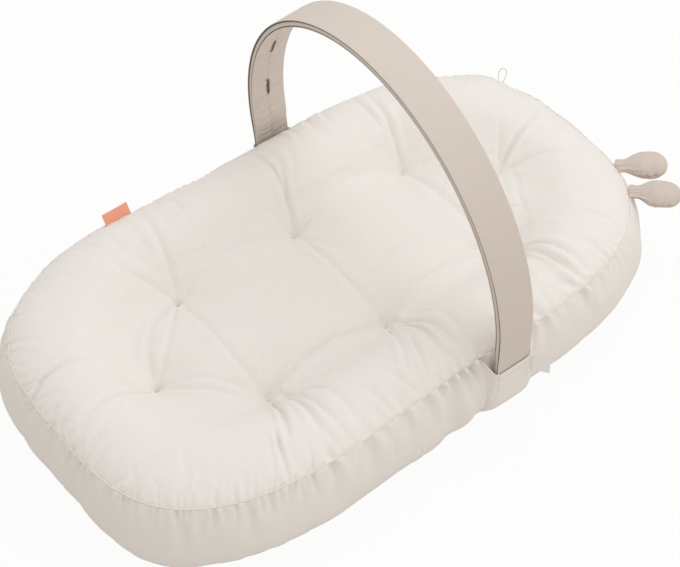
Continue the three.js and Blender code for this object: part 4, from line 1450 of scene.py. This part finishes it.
    def inner_puckers(self) -> Array:
        """The inner ply's crosswise puckers: grooves that start at its drawn-in middle seam or at an edge.

        Each groove is exp(-(d/w)^2) along the arch with a puff beside it, leans a little, and fades across.
        """
        waves = self.puckers(0.5 * MM, 31, 61)
        across = np.linspace(-1, 1, waves.shape[1])[None, :]
        place = running_length(self.arch.line())[:, None]
        rng = np.random.default_rng(33)
        for middle in np.arange(0.01, place[-1, 0], 0.0062):
            start, hand = middle + rng.uniform(-2, 2) * MM, rng.choice([-1, 1])
            from_seam = rng.random() < 0.6
            lean, wide, deep = rng.normal(0, 3) * MM, rng.uniform(1.7, 2.9) * MM, rng.uniform(0.6, 1.9) * MM
            gap = (place - start - lean * across) / wide
            run = hand * across
            fade = np.where(run > 0, np.exp(-(((run - (0.1 if from_seam else 0.95)) / 0.6) ** 2)), 0.0)
            fade = fade * smooth(run / 0.08)
            waves = waves - deep * fade * (np.exp(-(gap**2)) - 0.5 * np.exp(-((np.abs(gap) - 1.9) ** 2)))
        waves = waves * (1 - 0.9 * smooth((np.abs(across) - 0.8) / 0.16))
        return waves - 0.9 * MM * np.exp(-((across / 0.07) ** 2))

    def painted_shade_allowance(self) -> Object:
        """The turned-in edges that show in the two grooves of each side: strips 2 mm wide, 0.5 mm inside the edge,
        which are dressed dark as the grooves' painted shade.
        """
        a, bands = self.arch, []
        half, room = a.width / 2 - 0.5 * MM, a.room(a.line()[:, 1])
        for level, thick in ((a.split - 0.6 * MM, 0.7 * MM), (-1.9 * MM - 0.82 * room, 0.35 * MM)):
            corners = np.array([(half, -thick), (half, thick), (half - 2 * MM, thick), (half - 2 * MM, -thick)])
            for section in (corners, -corners):
                grid = np.broadcast_to(section, (a.steps,) + section.shape).copy()
                grid[..., 1] += np.broadcast_to(level, a.steps)[:, None]
                bands.append(a.swept(grid, "seam_edge"))
        return joined("arch_seam_edges_painted_shade", bands)

    def inner_face(self, line: Array, lift: float) -> Array:
        """Points on the middle of the inner ply's face, raised towards the inside by a lift."""
        depth = -(self.arch.thickness / 2 + self.arch.room(line[:, 1]) + lift)
        placed = line + self.arch.normals(line) * depth[:, None]
        return self.arch.to_frame(np.concatenate([np.zeros((len(line), 1)), placed], 1))

    def stitches(self) -> Object:
        """The stitches along the inner ply's middle seam, 2.4 mm long and 3.4 mm apart, each a small spindle."""
        line = even_path(self.arch.line(), self.fine)
        path = self.inner_face(line, -0.35 * MM)
        inward = unit(self.inner_face(line, 0.65 * MM) - path)
        length = running_length(path)
        starts = np.arange(0.09, length[-1] - 0.09, 3.4 * MM)
        wanted = starts[:, None] + np.linspace(0, 1, 5)[None, :] * 2.4 * MM
        out = unit(along_path(wanted, length, inward))
        rise = np.array([0, 1, 1.2, 1, 0]) * 0.18 * MM
        centre = along_path(wanted, length, path) + out * rise[None, :, None]
        across = unit(np.cross(np.gradient(centre, axis=1), out))
        reach = 0.22 * MM * np.array([0.02, 1, 1, 1, 0.02])
        rings = rings_round(centre, across, out, np.repeat(reach[:, None], 6, 1))
        one = grid_faces(5, 6, wrap_columns=True)
        faces = (np.arange(len(starts))[:, None, None] * 30 + one[None]).reshape(-1, 4)
        return lay_mesh("arch_seam_stitches", rings, faces, np.zeros((len(faces), 4, 2)))

    def hole_frames(self) -> list[Array]:
        """Where each buttonhole is, far leg first: rows of its middle and its directions along, across and in."""
        a = self.arch
        line = even_path(a.line(), self.fine)
        normal = a.normals(line)
        crest = self.fine // 2
        far, near = [], []
        for height in self.heights:
            rows = np.flatnonzero(np.abs(line[:, 1] - height) < 0.5 * MM)
            near.append(int(rows[rows < crest].mean()))
            far.append(int(rows[rows > crest].mean()))
        frames = []
        for row in [*far[::-1], crest, *near[::-1]]:
            local = np.array([line[row], line[row + 1], line[row - 1], line[row] - normal[row]])
            middle, ahead, behind, inside = a.to_frame(np.concatenate([np.zeros((4, 1)), local], 1))
            along, inward = unit(ahead - behind), unit(inside - middle)
            frames.append(np.stack([middle, along, np.cross(inward, along), inward]))
        return frames

    def on_face(self, place: Array, x: Array, y: Array, lift: Array) -> Array:
        """Points at x along and y across a buttonhole, raised above the inner ply's face by a lift."""
        middle, along, across, inward = place
        height = self.arch.thickness / 2 + self.arch.fullness + lift
        return middle + x[..., None] * along + y[..., None] * across + height[..., None] * inward

    def buttonhole(self, number: int, place: Array) -> Object:
        """A buttonhole's stitched rim: a flat tube round a slot with round ends.

        Its radius swells and shrinks every half millimetre, as the stitches lie side by side.

        Args:
            number: the buttonhole's number.
            place: its middle and directions, as hole_frames gives them.

        Returns:
            The new object.
        """
        half, radius = (self.hole_length - self.hole_width) / 2, (self.hole_width - 1.6 * MM) / 2
        turn = np.linspace(-np.pi / 2, np.pi / 2, 24)
        right = np.stack([half + radius * np.cos(turn), radius * np.sin(turn)], -1)
        loop = np.concatenate([right, -right])
        path = even_path(np.concatenate([loop, loop[:1]]), 225)[:-1]
        tangent = unit(np.roll(path, -1, 0) - np.roll(path, 1, 0))
        side = np.stack([tangent[:, 1], -tangent[:, 0]], -1)
        ring = full_turn(10)
        stitch = 1 + 0.16 * np.cos(2 * np.pi * np.arange(len(path)) / 3.2)
        wide, high = 0.8 * MM, 0.5 * MM
        plan = path[:, None] + wide * stitch[:, None, None] * np.cos(ring)[None, :, None] * side[:, None]
        lift = 0.15 * MM + high * stitch[:, None] * np.sin(ring)[None, :]
        points = self.on_face(place, plan[..., 0], plan[..., 1], lift)
        faces = grid_faces(len(path), 10, wrap_rows=True, wrap_columns=True)
        length = running_length(np.concatenate([path, path[:1]]))[:, None]
        uv = grid_uv(length, np.linspace(0, 5 * MM, 11)[None, :])
        return lay_mesh(f"buttonhole_stitching_{number}", points, faces, uv)

    def slit(self, number: int, place: Array) -> Object:
        """The cut between the two rows of stitches: a low strip with tapered ends, sqrt(1 - s^6) wide, which is dressed
        dark as painted shadow in the cut.

        Args:
            number: the buttonhole's number.
            place: its middle and directions.

        Returns:
            The new object.
        """
        share = np.linspace(-1, 1, 15)[:, None]
        turn = full_turn(8)[None, :]
        reach = np.sqrt(np.clip(1 - share**6, 0, 1)) + 1e-3
        x = share * (self.hole_length - self.hole_width) / 2 * np.ones_like(turn)
        y = 0.55 * MM * reach * np.cos(turn)
        points = self.on_face(place, x, y, 0.05 * MM + 0.25 * MM * reach * np.sin(turn))
        faces = grid_faces(15, 8, wrap_columns=True)
        return lay_mesh(f"buttonhole_slit_{number}", points, faces, np.zeros((len(faces), 4, 2)))


# Pockets


@dataclass
class PocketMaker:
    """Builds a side pocket: a cotton patch over an arch leg, hemmed at its mouth and sewn on down both sides."""

    arch: Arch
    cushion: Cushion
    side: Side
    play: float = 1.4 * MM
    cloth: float = 1.1 * MM
    foot_z: float = 0.0045
    flare: float = 0.01
    back_flare: float = 0.007
    mouth_rise: float = 0.015
    far_rise_share: float = 0.2
    sunk: float = 2.5 * MM
    hem_share: float = 0.11
    rows: int = 84
    columns: int = 96

    def puckers(self, down: Array, x_share: Array) -> Array:
        """Height of the patch's crosswise wrinkles, short ones at its edges and long ones all over, and of its hem.

        Args:
            down: 0 at the mouth to 1 at the foot.
            x_share: place across the patch, from -1 to 1.

        Returns:
            The height at each place.
        """
        depth = down * (self.arch.mouth_z - self.foot_z)
        edge = smooth((np.abs(x_share) - 0.35) / 0.5)
        short = 0.6 * MM * np.sin(depth / (4.2 * MM) + 3 * x_share) * np.sin(np.pi * down) * edge
        long = 0.5 * MM * np.sin(depth / (11 * MM) + 2 * x_share + 1) * np.sin(np.pi * down)
        fold = 0.5 * MM * smooth((self.hem_share - 0.005 - down) / 0.02)
        return short + long + fold - 0.5 * MM * np.exp(-(((down - self.hem_share) / 0.01) ** 2))

    def patch(self, down: Array, turn: Array) -> tuple[Array, Array]:
        """The patch's outer and inner faces.

        Across, it is |x/w|^n + |y/d|^n = 1, from the cushion round the leg and back. The power n falls from 10 at
        the mouth to 5 down the leg and 3 at the foot. Down, it stands off the cushion as far as the leg goes, and
        then lies down on the cushion's side as far as the base seam.

        Args:
            down: a column, 0 at the mouth to 1 at the foot.
            turn: a row, 0 at the patch's edge to the head end, and pi at the other.

        Returns:
            Two (rows, columns, 3) grids.
        """
        a = self.arch
        height = -down * (a.mouth_z - self.foot_z)
        past_leg = smooth((a.floor + 0.004 - height) / 0.03)
        power = 10 - 5.0 * smooth(-height / 0.07) - 2.0 * past_leg
        bulge = np.abs(np.sin(turn)) ** (2 / power)
        flare = np.where(np.cos(turn) < 0, self.flare, 0.0) * smooth((-height - 0.004) / 0.085)
        half = a.width / 2 + self.play + self.cloth + flare
        half = half + self.back_flare * (1 - bulge) * (1 - 0.6 * down)
        x = half * np.sign(np.cos(turn)) * np.abs(np.cos(turn)) ** (2 / power)
        middle = a.middle_x - height * math.sin(a.lean)
        rise = self.mouth_rise * (1.0 if self.side is Side.NEAR else self.far_rise_share)
        z = a.mouth_z + height + rise * (1 - bulge) * (1 - down) ** 3
        wall = self.wall(middle + x, z) - self.sunk
        front = a.leg_y + a.thickness / 2 + 0.8 * MM + self.cloth
        reach = (front - wall) * (1 - past_leg) + 5.0 * MM * past_leg
        relief = self.puckers(down, x / half)
        edge_seam = -1.7 * MM * np.exp(-(((x + 0.88 * half) / (1.3 * MM)) ** 2)) * smooth(down / 0.06)
        y = wall + (reach + relief) * bulge + edge_seam
        outer = np.broadcast_arrays(middle + x + relief * np.cos(turn) * 0.6, y * self.side.value, z)
        inner_y = wall + np.maximum(reach - self.cloth, 0.3 * MM) * bulge
        inner = np.broadcast_arrays(middle + x * (half - self.cloth) / half, inner_y * self.side.value, z)
        return np.stack(outer, -1), np.stack(inner, -1)

    def build(self, cotton: Material, thread: Material) -> None:
        """Lays the patch, with its two faces joined over the mouth and at the foot, and its hem's stitches.

        Args:
            cotton: the patch's cloth.
            thread: the stitches' thread.
        """
        down = np.linspace(0, 1, self.rows)[:, None]
        outer, inner = self.patch(down, np.linspace(0, np.pi, self.columns)[None, :])
        mouth = (outer[:1] + inner[:1]) / 2 + 0.9 * MM * UP
        foot = (outer[-1:] + inner[-1:]) / 2
        points = np.concatenate([foot, inner[::-1], mouth, outer, foot])
        faces = grid_faces(*points.shape[:2])
        length = (self.arch.mouth_z - self.foot_z) * down[:, 0]
        v = np.concatenate([length[-1:], length[::-1], [0], length, length[-1:]])
        uv = grid_uv(np.linspace(0, 0.11, self.columns)[None, :], v[:, None])
        if self.side is Side.FAR:
            faces, uv = faces[:, ::-1], uv[:, ::-1]
        name = self.side.name.lower()
        patch = lay_mesh(f"{name}_pocket_cloth", points, faces, uv)
        settle(patch, "cushion", "cover_cotton", cotton, f"pocket_{name}")
        settle(self.hem_stitches(outer, down, name), "cushion", "thread", thread)

    def wall(self, x: Array, z: Array) -> Array:
        """Distance of the cushion's side from the middle line.

        Args:
            x: places along the cushion.
            z: heights.

        Returns:
            The distance at each place.
        """
        c = self.cushion
        out, height = c.side_profile(np.linspace(0, 2, 200))
        outset = np.interp(-z, -height, out)
        power = np.where(x < 0, c.foot_power, c.head_power)
        reach = (1 - (np.abs(x) / (c.half_length + outset)) ** power) ** (1 / power)
        return (c.half_width + outset) * reach * c.waist(x)

    def hem_stitches(self, outer: Array, down: Array, name: str) -> Object:
        """Stitches 2.6 mm long on the hem's line, along the row that lies in its dip.

        Args:
            outer: the patch's outer face.
            down: 0 to 1 for each of its rows.
            name: the pocket's side.

        Returns:
            The new object.
        """
        row = int(np.argmin(np.abs(down[:, 0] - self.hem_share)))
        path = even_path(outer[row, 6:-6], 600)
        length = running_length(path)
        parts = []
        for start in np.arange(0.001, length[-1] - 0.004, 3.6 * MM):
            run = along_path(start + np.linspace(0, 2.6 * MM, 7), length, path)
            run[:, 1] += self.side.value * 0.25 * MM
            parts.append(tube("stitch", run, 0.24 * MM, 6, False, UP))
        return joined(f"{name}_pocket_stitches", parts)


# Ears


@dataclass
class EarMaker:
    """Builds a stuffed linen ear: two halves sewn round the edge and gathered to a neck in the top seam.

    Turn is its angle round the cushion's outline, and heading the direction that it points in, both in degrees.
    """

    name: str
    turn: float
    heading: float
    cushion: Cushion
    seed: int
    length: float = 0.06
    width: float = 0.04
    thickness: float = 0.027
    neck: float = 0.0205
    neck_thickness: float = 0.0104
    neck_round: float = 0.0061
    tuck: float = 0.0075
    level: float = 0.119
    rows: int = 100
    columns: int = 128

    def frame(self) -> tuple[Array, Array, Array]:
        """The hinge point in the seam, the direction out along the ear, and the one across it."""
        step = 1e-4
        turn = math.radians(self.turn)
        here = self.cushion.outline(np.array([turn - step, turn, turn + step]), 0.0)
        along = unit(here[2] - here[0])
        origin = here[1] + np.array([along[1], -along[0]]) * self.neck_round
        heading = math.radians(self.heading)
        out = np.array([math.cos(heading), math.sin(heading), 0.0])
        return np.array([*origin, self.level]), out, np.array([-out[1], out[0], 0.0])

    def puckers(self, along: Array, around: Array, swell: Array, ends: tuple[Array, Array]) -> Array:
        """Height of the edge seam with its short puckers, the neck's pleats and the filling's soft dents.

        Args:
            along: distance from the top seam, a column.
            around: angle round the ear, a row, 0 at one edge.
            swell: 0 at the neck to 1 where the ear is full.
            ends: how far the ear is open towards its tip and towards its root, 1 away from them.

        Returns:
            The height at each place.
        """
        tip, root = ends
        edge = np.abs(np.sin(around))
        phases = np.random.default_rng(self.seed).uniform(0, 2 * np.pi, 6)
        waves = np.sin(along / (1.5 * MM) + phases[0]) + 0.8 * np.sin(along / (2.3 * MM) + phases[1])
        pucker = 0.9 * MM * waves * np.exp(-((edge / 0.33) ** 2)) * swell * tip
        pleats = np.sin(9 * around + phases[2]) + 0.6 * np.sin(14 * around + phases[4] + along / (9 * MM))
        pleats = 0.62 * MM * pleats * np.exp(-((np.clip(along - 0.004, 0, 1) / 0.013) ** 1.5)) * root
        seam = -1.6 * MM * np.exp(-((edge / 0.09) ** 2)) * tip
        dents = np.sin(along / (8 * MM) + 2 * around + phases[3])
        dents = dents + 0.6 * np.sin(along / (5 * MM) - 3 * around + phases[5])
        return pucker + pleats + seam + 0.5 * MM * dents * swell * tip

    def build(self, linen: Material) -> None:
        """Lays the ear.

        Along it, half the width narrows from the seam to the neck, swells to the full width and is rounded at
        the tip. A section is a lens, |x/w|^2 + |z/t|^1.7 = 1, puckered along the edge seam and pleated from the
        neck. The first part lies tucked into the cushion's seam.

        Args:
            linen: the ear's cloth.
        """
        share = (1 - np.cos(np.linspace(0, np.pi, self.rows)))[:, None] / 2
        along = share * (self.length - self.neck_round * 0.4 + self.tuck) - self.tuck
        waist = 1 - 0.1 * np.exp(-(((along - 0.0055) / 0.0055) ** 2))
        swell = smooth((along - 0.001) / 0.027)
        tip = np.sqrt(np.clip(1 - np.clip((share - 0.66) / 0.34, 0, 1) ** 2.2, 0, 1))
        root = np.sqrt(np.clip(1 - np.clip((0.05 - share) / 0.05, 0, 1) ** 2, 0, 1))
        half = (self.neck + (self.width - self.neck) * swell) / 2 * waist * tip * root
        thick = (self.neck_thickness + (self.thickness - self.neck_thickness) * swell) / 2 * waist * tip**0.9 * root
        around = full_turn(self.columns)[None, :]
        c, s = np.cos(around), np.sin(around)
        lens = np.stack(np.broadcast_arrays(half * c, thick * np.sign(s) * np.abs(s) ** (2 / 1.7)), -1)
        outward = unit(np.stack(np.broadcast_arrays(c, s * 1.3), -1))
        lens = lens + outward * self.puckers(along, around, swell, (tip, root))[..., None]
        origin, out, across = self.frame()
        points = origin + along[..., None] * out + lens[..., :1] * across + lens[..., 1:] * UP
        faces = grid_faces(self.rows, self.columns, wrap_columns=True)
        uv = grid_uv(along, np.linspace(0, 0.1, self.columns + 1)[None, :])
        ear = lay_mesh(f"{self.name}_cloth", points, faces[:, ::-1], uv[:, ::-1])
        settle(ear, self.name, "ear_linen", linen, f"{self.name}_skin", f"{self.name}_filling")


# Tabs and loop


@dataclass(frozen=True)
class SewnPlace:
    """Where something is sewn on: its hinge point, the direction out, and the direction along its seam."""

    origin: Array
    out: Array
    along: Array

    @classmethod
    def in_top_seam(
        cls, cushion: Cushion, turn: float, pitch: float, standoff: float, shift: tuple[float, float, float],
        level: float = 0.1201,
    ) -> "SewnPlace":
        """A place in the cushion's top seam.

        Args:
            cushion: the cushion's plan.
            turn: angle round the outline, in degrees.
            pitch: angle of the direction out above level, in degrees.
            standoff: distance from the seam along the direction out.
            shift: a last move of the hinge point.
            level: height of the seam.

        Returns:
            The place.
        """
        step = 1e-4
        angle, rise = math.radians(turn), math.radians(pitch)
        here = cushion.outline(np.array([angle - step, angle, angle + step]), 0.0)
        along = np.array([*unit(here[2] - here[0]), 0.0])
        level_out = np.array([along[1], -along[0], 0.0])
        out = level_out * math.cos(rise) + np.array([0, 0, math.sin(rise)])
        return cls(np.array([*here[1], level]) + out * standoff + np.array(shift), out, along)

    def root(self, depth: float) -> tuple[Array, Array]:
        """Two points a depth apart: the hinge point, and one that far along the direction out."""
        return self.origin, self.origin + depth * self.out


@dataclass
class RibbonTab:
    """A ribbon folded in two, its cut ends sewn in where the CAD tab's are."""

    node: str
    name: str
    place: SewnPlace
    width: float
    height: float
    ribbon: float = 0.5 * MM
    fold: float = 0.3 * MM
    curl: float = 0.6 * MM
    steps: int = 41

    def section(self) -> Array:
        """The folded ribbon in section: a hairpin up its outer face and back, then one up its inner face."""
        inner, outer = self.fold / 2, self.fold / 2 + self.ribbon
        turn = np.linspace(0, np.pi, 13)
        crown = self.height - outer
        up_run = np.linspace(0, crown, 10)
        section = []
        for reach in (outer, -inner):
            section += [(reach, h) for h in up_run[:-1]]
            section += [(reach * math.cos(t), crown + abs(reach) * math.sin(t)) for t in turn]
            section += [(-reach, h) for h in up_run[::-1][1:]]
        return np.array(section)

    def build(self, material: Material, slot: str) -> None:
        """Lays the tab: the hairpin section swept across the ribbon's width, with a slight curl, and both sides shut.

        Args:
            material: the ribbon's finish.
            slot: the record's material slot.
        """
        section, count = self.section(), len(self.section())
        steps = np.linspace(-1, 1, self.steps)[:, None]
        depth = section[None, :, 0] + self.curl * (section[None, :, 1] / self.height) ** 2 * (1 - steps**2)
        run = np.broadcast_to(steps * self.width / 2, depth.shape)
        high = np.broadcast_to(section[None, :, 1], depth.shape)
        at = self.place
        side = np.cross(at.out, at.along)
        grid = at.origin + run[..., None] * at.along + depth[..., None] * side + high[..., None] * at.out
        outward = np.arange(count // 2 - 1)
        caps = []
        for row, flip in ((0, False), (self.steps - 1, True)):
            first, last = row * count + outward, row * count + (count - 1 - outward)
            quads = np.stack([first, first + 1, last - 1, last], -1)
            caps.append(quads if flip else quads[:, ::-1])
        faces = np.concatenate([grid_faces(self.steps, count, wrap_columns=True)[:, ::-1], *caps])
        girth = running_length(np.concatenate([section, section[:1]]))[None, :]
        body_uv = grid_uv(steps * self.width / 2, girth)[:, ::-1]
        uv = np.concatenate([body_uv, np.zeros((sum(len(c) for c in caps), 4, 2))])
        tab = lay_mesh(self.name, grid, faces, uv)
        settle(tab, self.node, slot, material, self.node, root=at.root(5 * MM))


@dataclass
class HangingLoop:
    """A loop of thin cord sewn at both ends into the far top seam."""

    place: SewnPlace
    width: float = 0.011
    height: float = 0.018
    radius: float = 0.7 * MM
    strand: float = 2.4 * MM
    steps: int = 161

    # Half of the loop's path in shares of its width and height. The other half mirrors it.
    HALF_PATH = ((-0.3, 0), (-0.36, 0.25), (-0.5, 0.66), (-0.34, 0.93), (0, 1))

    def build(self, cord: Material) -> None:
        """Lays the loop: a teardrop path, and a radius that swells twice a turn as two strands twist round.

        Args:
            cord: the loop's finish.
        """
        shares = np.array([*self.HALF_PATH, *((-x, h) for x, h in self.HALF_PATH[-2::-1])])
        t = np.linspace(0, 1, len(shares))
        fine = np.linspace(0, 1, self.steps)
        weights = np.exp(-(((fine[:, None] - t[None, :]) / 0.075) ** 2))
        weights /= weights.sum(1, keepdims=True)
        plan = weights @ shares
        plan[0], plan[-1] = shares[0], shares[-1]
        at = self.place
        path = at.origin + plan[:, :1] * self.width * at.along + plan[:, 1:] * self.height * at.out
        path = even_path(path, self.steps)
        turn = full_turn(12)[None, :]
        twist = 2 * np.pi * running_length(path)[:, None] / self.strand
        radius = self.radius * (0.86 + 0.14 * np.cos(2 * (turn - twist / 2)))
        loop = tube("hanging_loop_cord", path, radius, 12, False, np.cross(at.along, at.out))
        settle(loop, "hang_loop", "thread", cord, "hang_loop", root=at.root(8 * MM))


# Studio


@dataclass(frozen=True)
class SoftLight:
    """A square soft light that faces the cushion: its place and size in metres and its power in watts."""

    name: str
    place: tuple[float, float, float]
    size: float
    power: float
    colour: str

    def hang(self) -> None:
        """Adds the light to the scene."""
        data = bpy.data.lights.new(self.name, "AREA")
        data.shape = "SQUARE"
        data.size = self.size
        data.energy = self.power
        data.color = linear(self.colour)[:3]
        obj = bpy.data.objects.new(self.name, data)
        obj.location = self.place
        obj.rotation_euler = (Vector(self.place) - Vector((0, 0, 0.1))).to_track_quat("Z", "Y").to_euler()
        bpy.context.scene.collection.objects.link(obj)


@dataclass(frozen=True)
class Studio:
    """A white sweep, a large soft light overhead, a fill light and the camera of the photograph."""

    azimuth: float = -38.09
    elevation: float = 50.02
    distance: float = 2.236
    target: tuple[float, float, float] = (0.053, 0.05, 0.0)
    focal_pixels: float = 1790.0
    image_width: float = 680.0
    paper: tuple[float, float, float, float] = (0.76, 0.72, 0.67, 1.0)
    plain_share: float = 0.945
    sky: str = "#fffcf8"
    sky_strength: float = 0.73
    lights: tuple[SoftLight, ...] = (
        SoftLight("key_light", (0.75, 0.15, 2.3), 1.6, 16, "#f8fbff"),
        SoftLight("fill_light", (1.0, -2.0, 1.2), 2.0, 6, "#ffffff"),
    )

    def camera(self) -> None:
        """Sets the camera back from its target along the photograph's direction, without roll."""
        a, e = math.radians(self.azimuth), math.radians(self.elevation)
        back = Vector((math.sin(a) * math.cos(e), -math.cos(a) * math.cos(e), math.sin(e)))
        right = Vector((0, 0, 1)).cross(back).normalized()
        up = back.cross(right)
        data = bpy.data.cameras.new("photo_camera")
        data.sensor_width = 36.0
        data.lens = 36.0 * self.focal_pixels / self.image_width
        data.clip_end = 50
        obj = bpy.data.objects.new("photo_camera", data)
        obj.matrix_world = Matrix.Translation(Vector(self.target) + back * self.distance) @ Matrix(
            (right, up, back)
        ).transposed().to_4x4()
        bpy.context.scene.collection.objects.link(obj)
        bpy.context.scene.camera = obj

    def floor(self) -> None:
        """A wide white floor. To the camera it is mostly plain white, and it keeps a soft shadow."""
        points = np.array([[-6, -6, 0], [6, -6, 0], [6, 6, 0], [-6, 6, 0]], float)
        points[:, 2] = -0.0003
        floor = lay_mesh("studio_floor", points, np.array([[0, 1, 2, 3]]))
        material, tree = bare_material("matt white paper")
        seen = add_node(tree, "LightPath", {}, {})
        diffuse = add_node(tree, "BsdfDiffuse", {}, {"Color": self.paper})
        plain = add_node(tree, "Emission", {}, {"Color": (1, 1, 1, 1), "Strength": 1.0})
        camera_ray = seen.outputs["Is Camera Ray"]
        share = add_node(tree, "Math", {"operation": "MULTIPLY"}, {0: camera_ray, 1: self.plain_share})
        mixed = add_node(tree, "MixShader", {}, {0: share.outputs[0], 1: diffuse.outputs[0], 2: plain.outputs[0]})
        add_node(tree, "OutputMaterial", {}, {"Surface": mixed.outputs[0]})
        dress(floor, material)

    def build(self) -> None:
        """Sets the view, the world, the floor, the lights and the camera."""
        scene = bpy.context.scene
        scene.view_settings.view_transform = "Standard"
        world = bpy.data.worlds.new("studio_world")
        scene.world = world
        world.use_nodes = True
        tree = world.node_tree
        tree.nodes.clear()
        camera_ray = add_node(tree, "LightPath", {}, {}).outputs["Is Camera Ray"]
        strength = mapped(tree, camera_ray, 0.0, 1.0, self.sky_strength, 1.0)
        tint = mixed_colour(tree, camera_ray, linear(self.sky), (1, 1, 1, 1))
        background = add_node(tree, "Background", {}, {"Color": tint, "Strength": strength})
        add_node(tree, "OutputWorld", {}, {"Surface": background.outputs[0]})
        self.floor()
        for light in self.lights:
            light.hang()
        self.camera()


def white_tab_place(arch: Arch) -> SewnPlace:
    """The white tab's place, on the near pocket's edge: it leans as the arch does and is swung out by 54 degrees."""
    swing, c, s = math.radians(54), math.cos(arch.lean), math.sin(arch.lean)
    out = np.array([math.cos(swing) * c, -math.sin(swing), math.cos(swing) * s])
    return SewnPlace(np.array([0.10986, -0.232869, 0.083658]), out, np.array([-s, 0.0, c]))


def main() -> None:
    """Builds the studio and every piece, in order."""
    logging.basicConfig(level=logging.INFO, format="%(message)s")
    Studio().build()
    cotton, linen, ear_linen = COTTON.material(), LINEN.material(), EAR_LINEN.material()
    thread, cord = SEWING_THREAD.material(), CORD.material()
    leg_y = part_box("arch_outer_band")[1].y - Arch.thickness / 2 - Arch.flare
    cushion, arch = Cushion(), Arch(leg_y=leg_y)
    CushionMaker(cushion, Padding()).build(cotton, thread)
    ArchMaker(arch).build(linen, thread)
    for side in Side:
        PocketMaker(arch, cushion, side).build(cotton, thread)
    EarMaker("ear_far", -14.3, -34.8, cushion, 7).build(ear_linen)
    EarMaker("ear_near", -25.7, -44.6, cushion, 8).build(ear_linen)
    coral_place = SewnPlace.in_top_seam(cushion, 103.4, 60, -2.2 * MM, (0, -3.6 * MM, -1.2 * MM))
    coral = RibbonTab("coral_tab", "coral_ribbon_tab", coral_place, 0.035, 0.0164)
    coral.build(CORAL_RIBBON.material(), "coral_ribbon")
    loop_place = SewnPlace.in_top_seam(cushion, 21.4, 60, 0.4 * MM, (0, -5.0 * MM, -4.5 * MM))
    HangingLoop(loop_place).build(cord)
    white = RibbonTab("white_tab", "white_ribbon_tab", white_tab_place(arch), 0.028, 0.022)
    white.build(WHITE_RIBBON.material(), "white_ribbon")


if __name__ == "__main__":
    main()
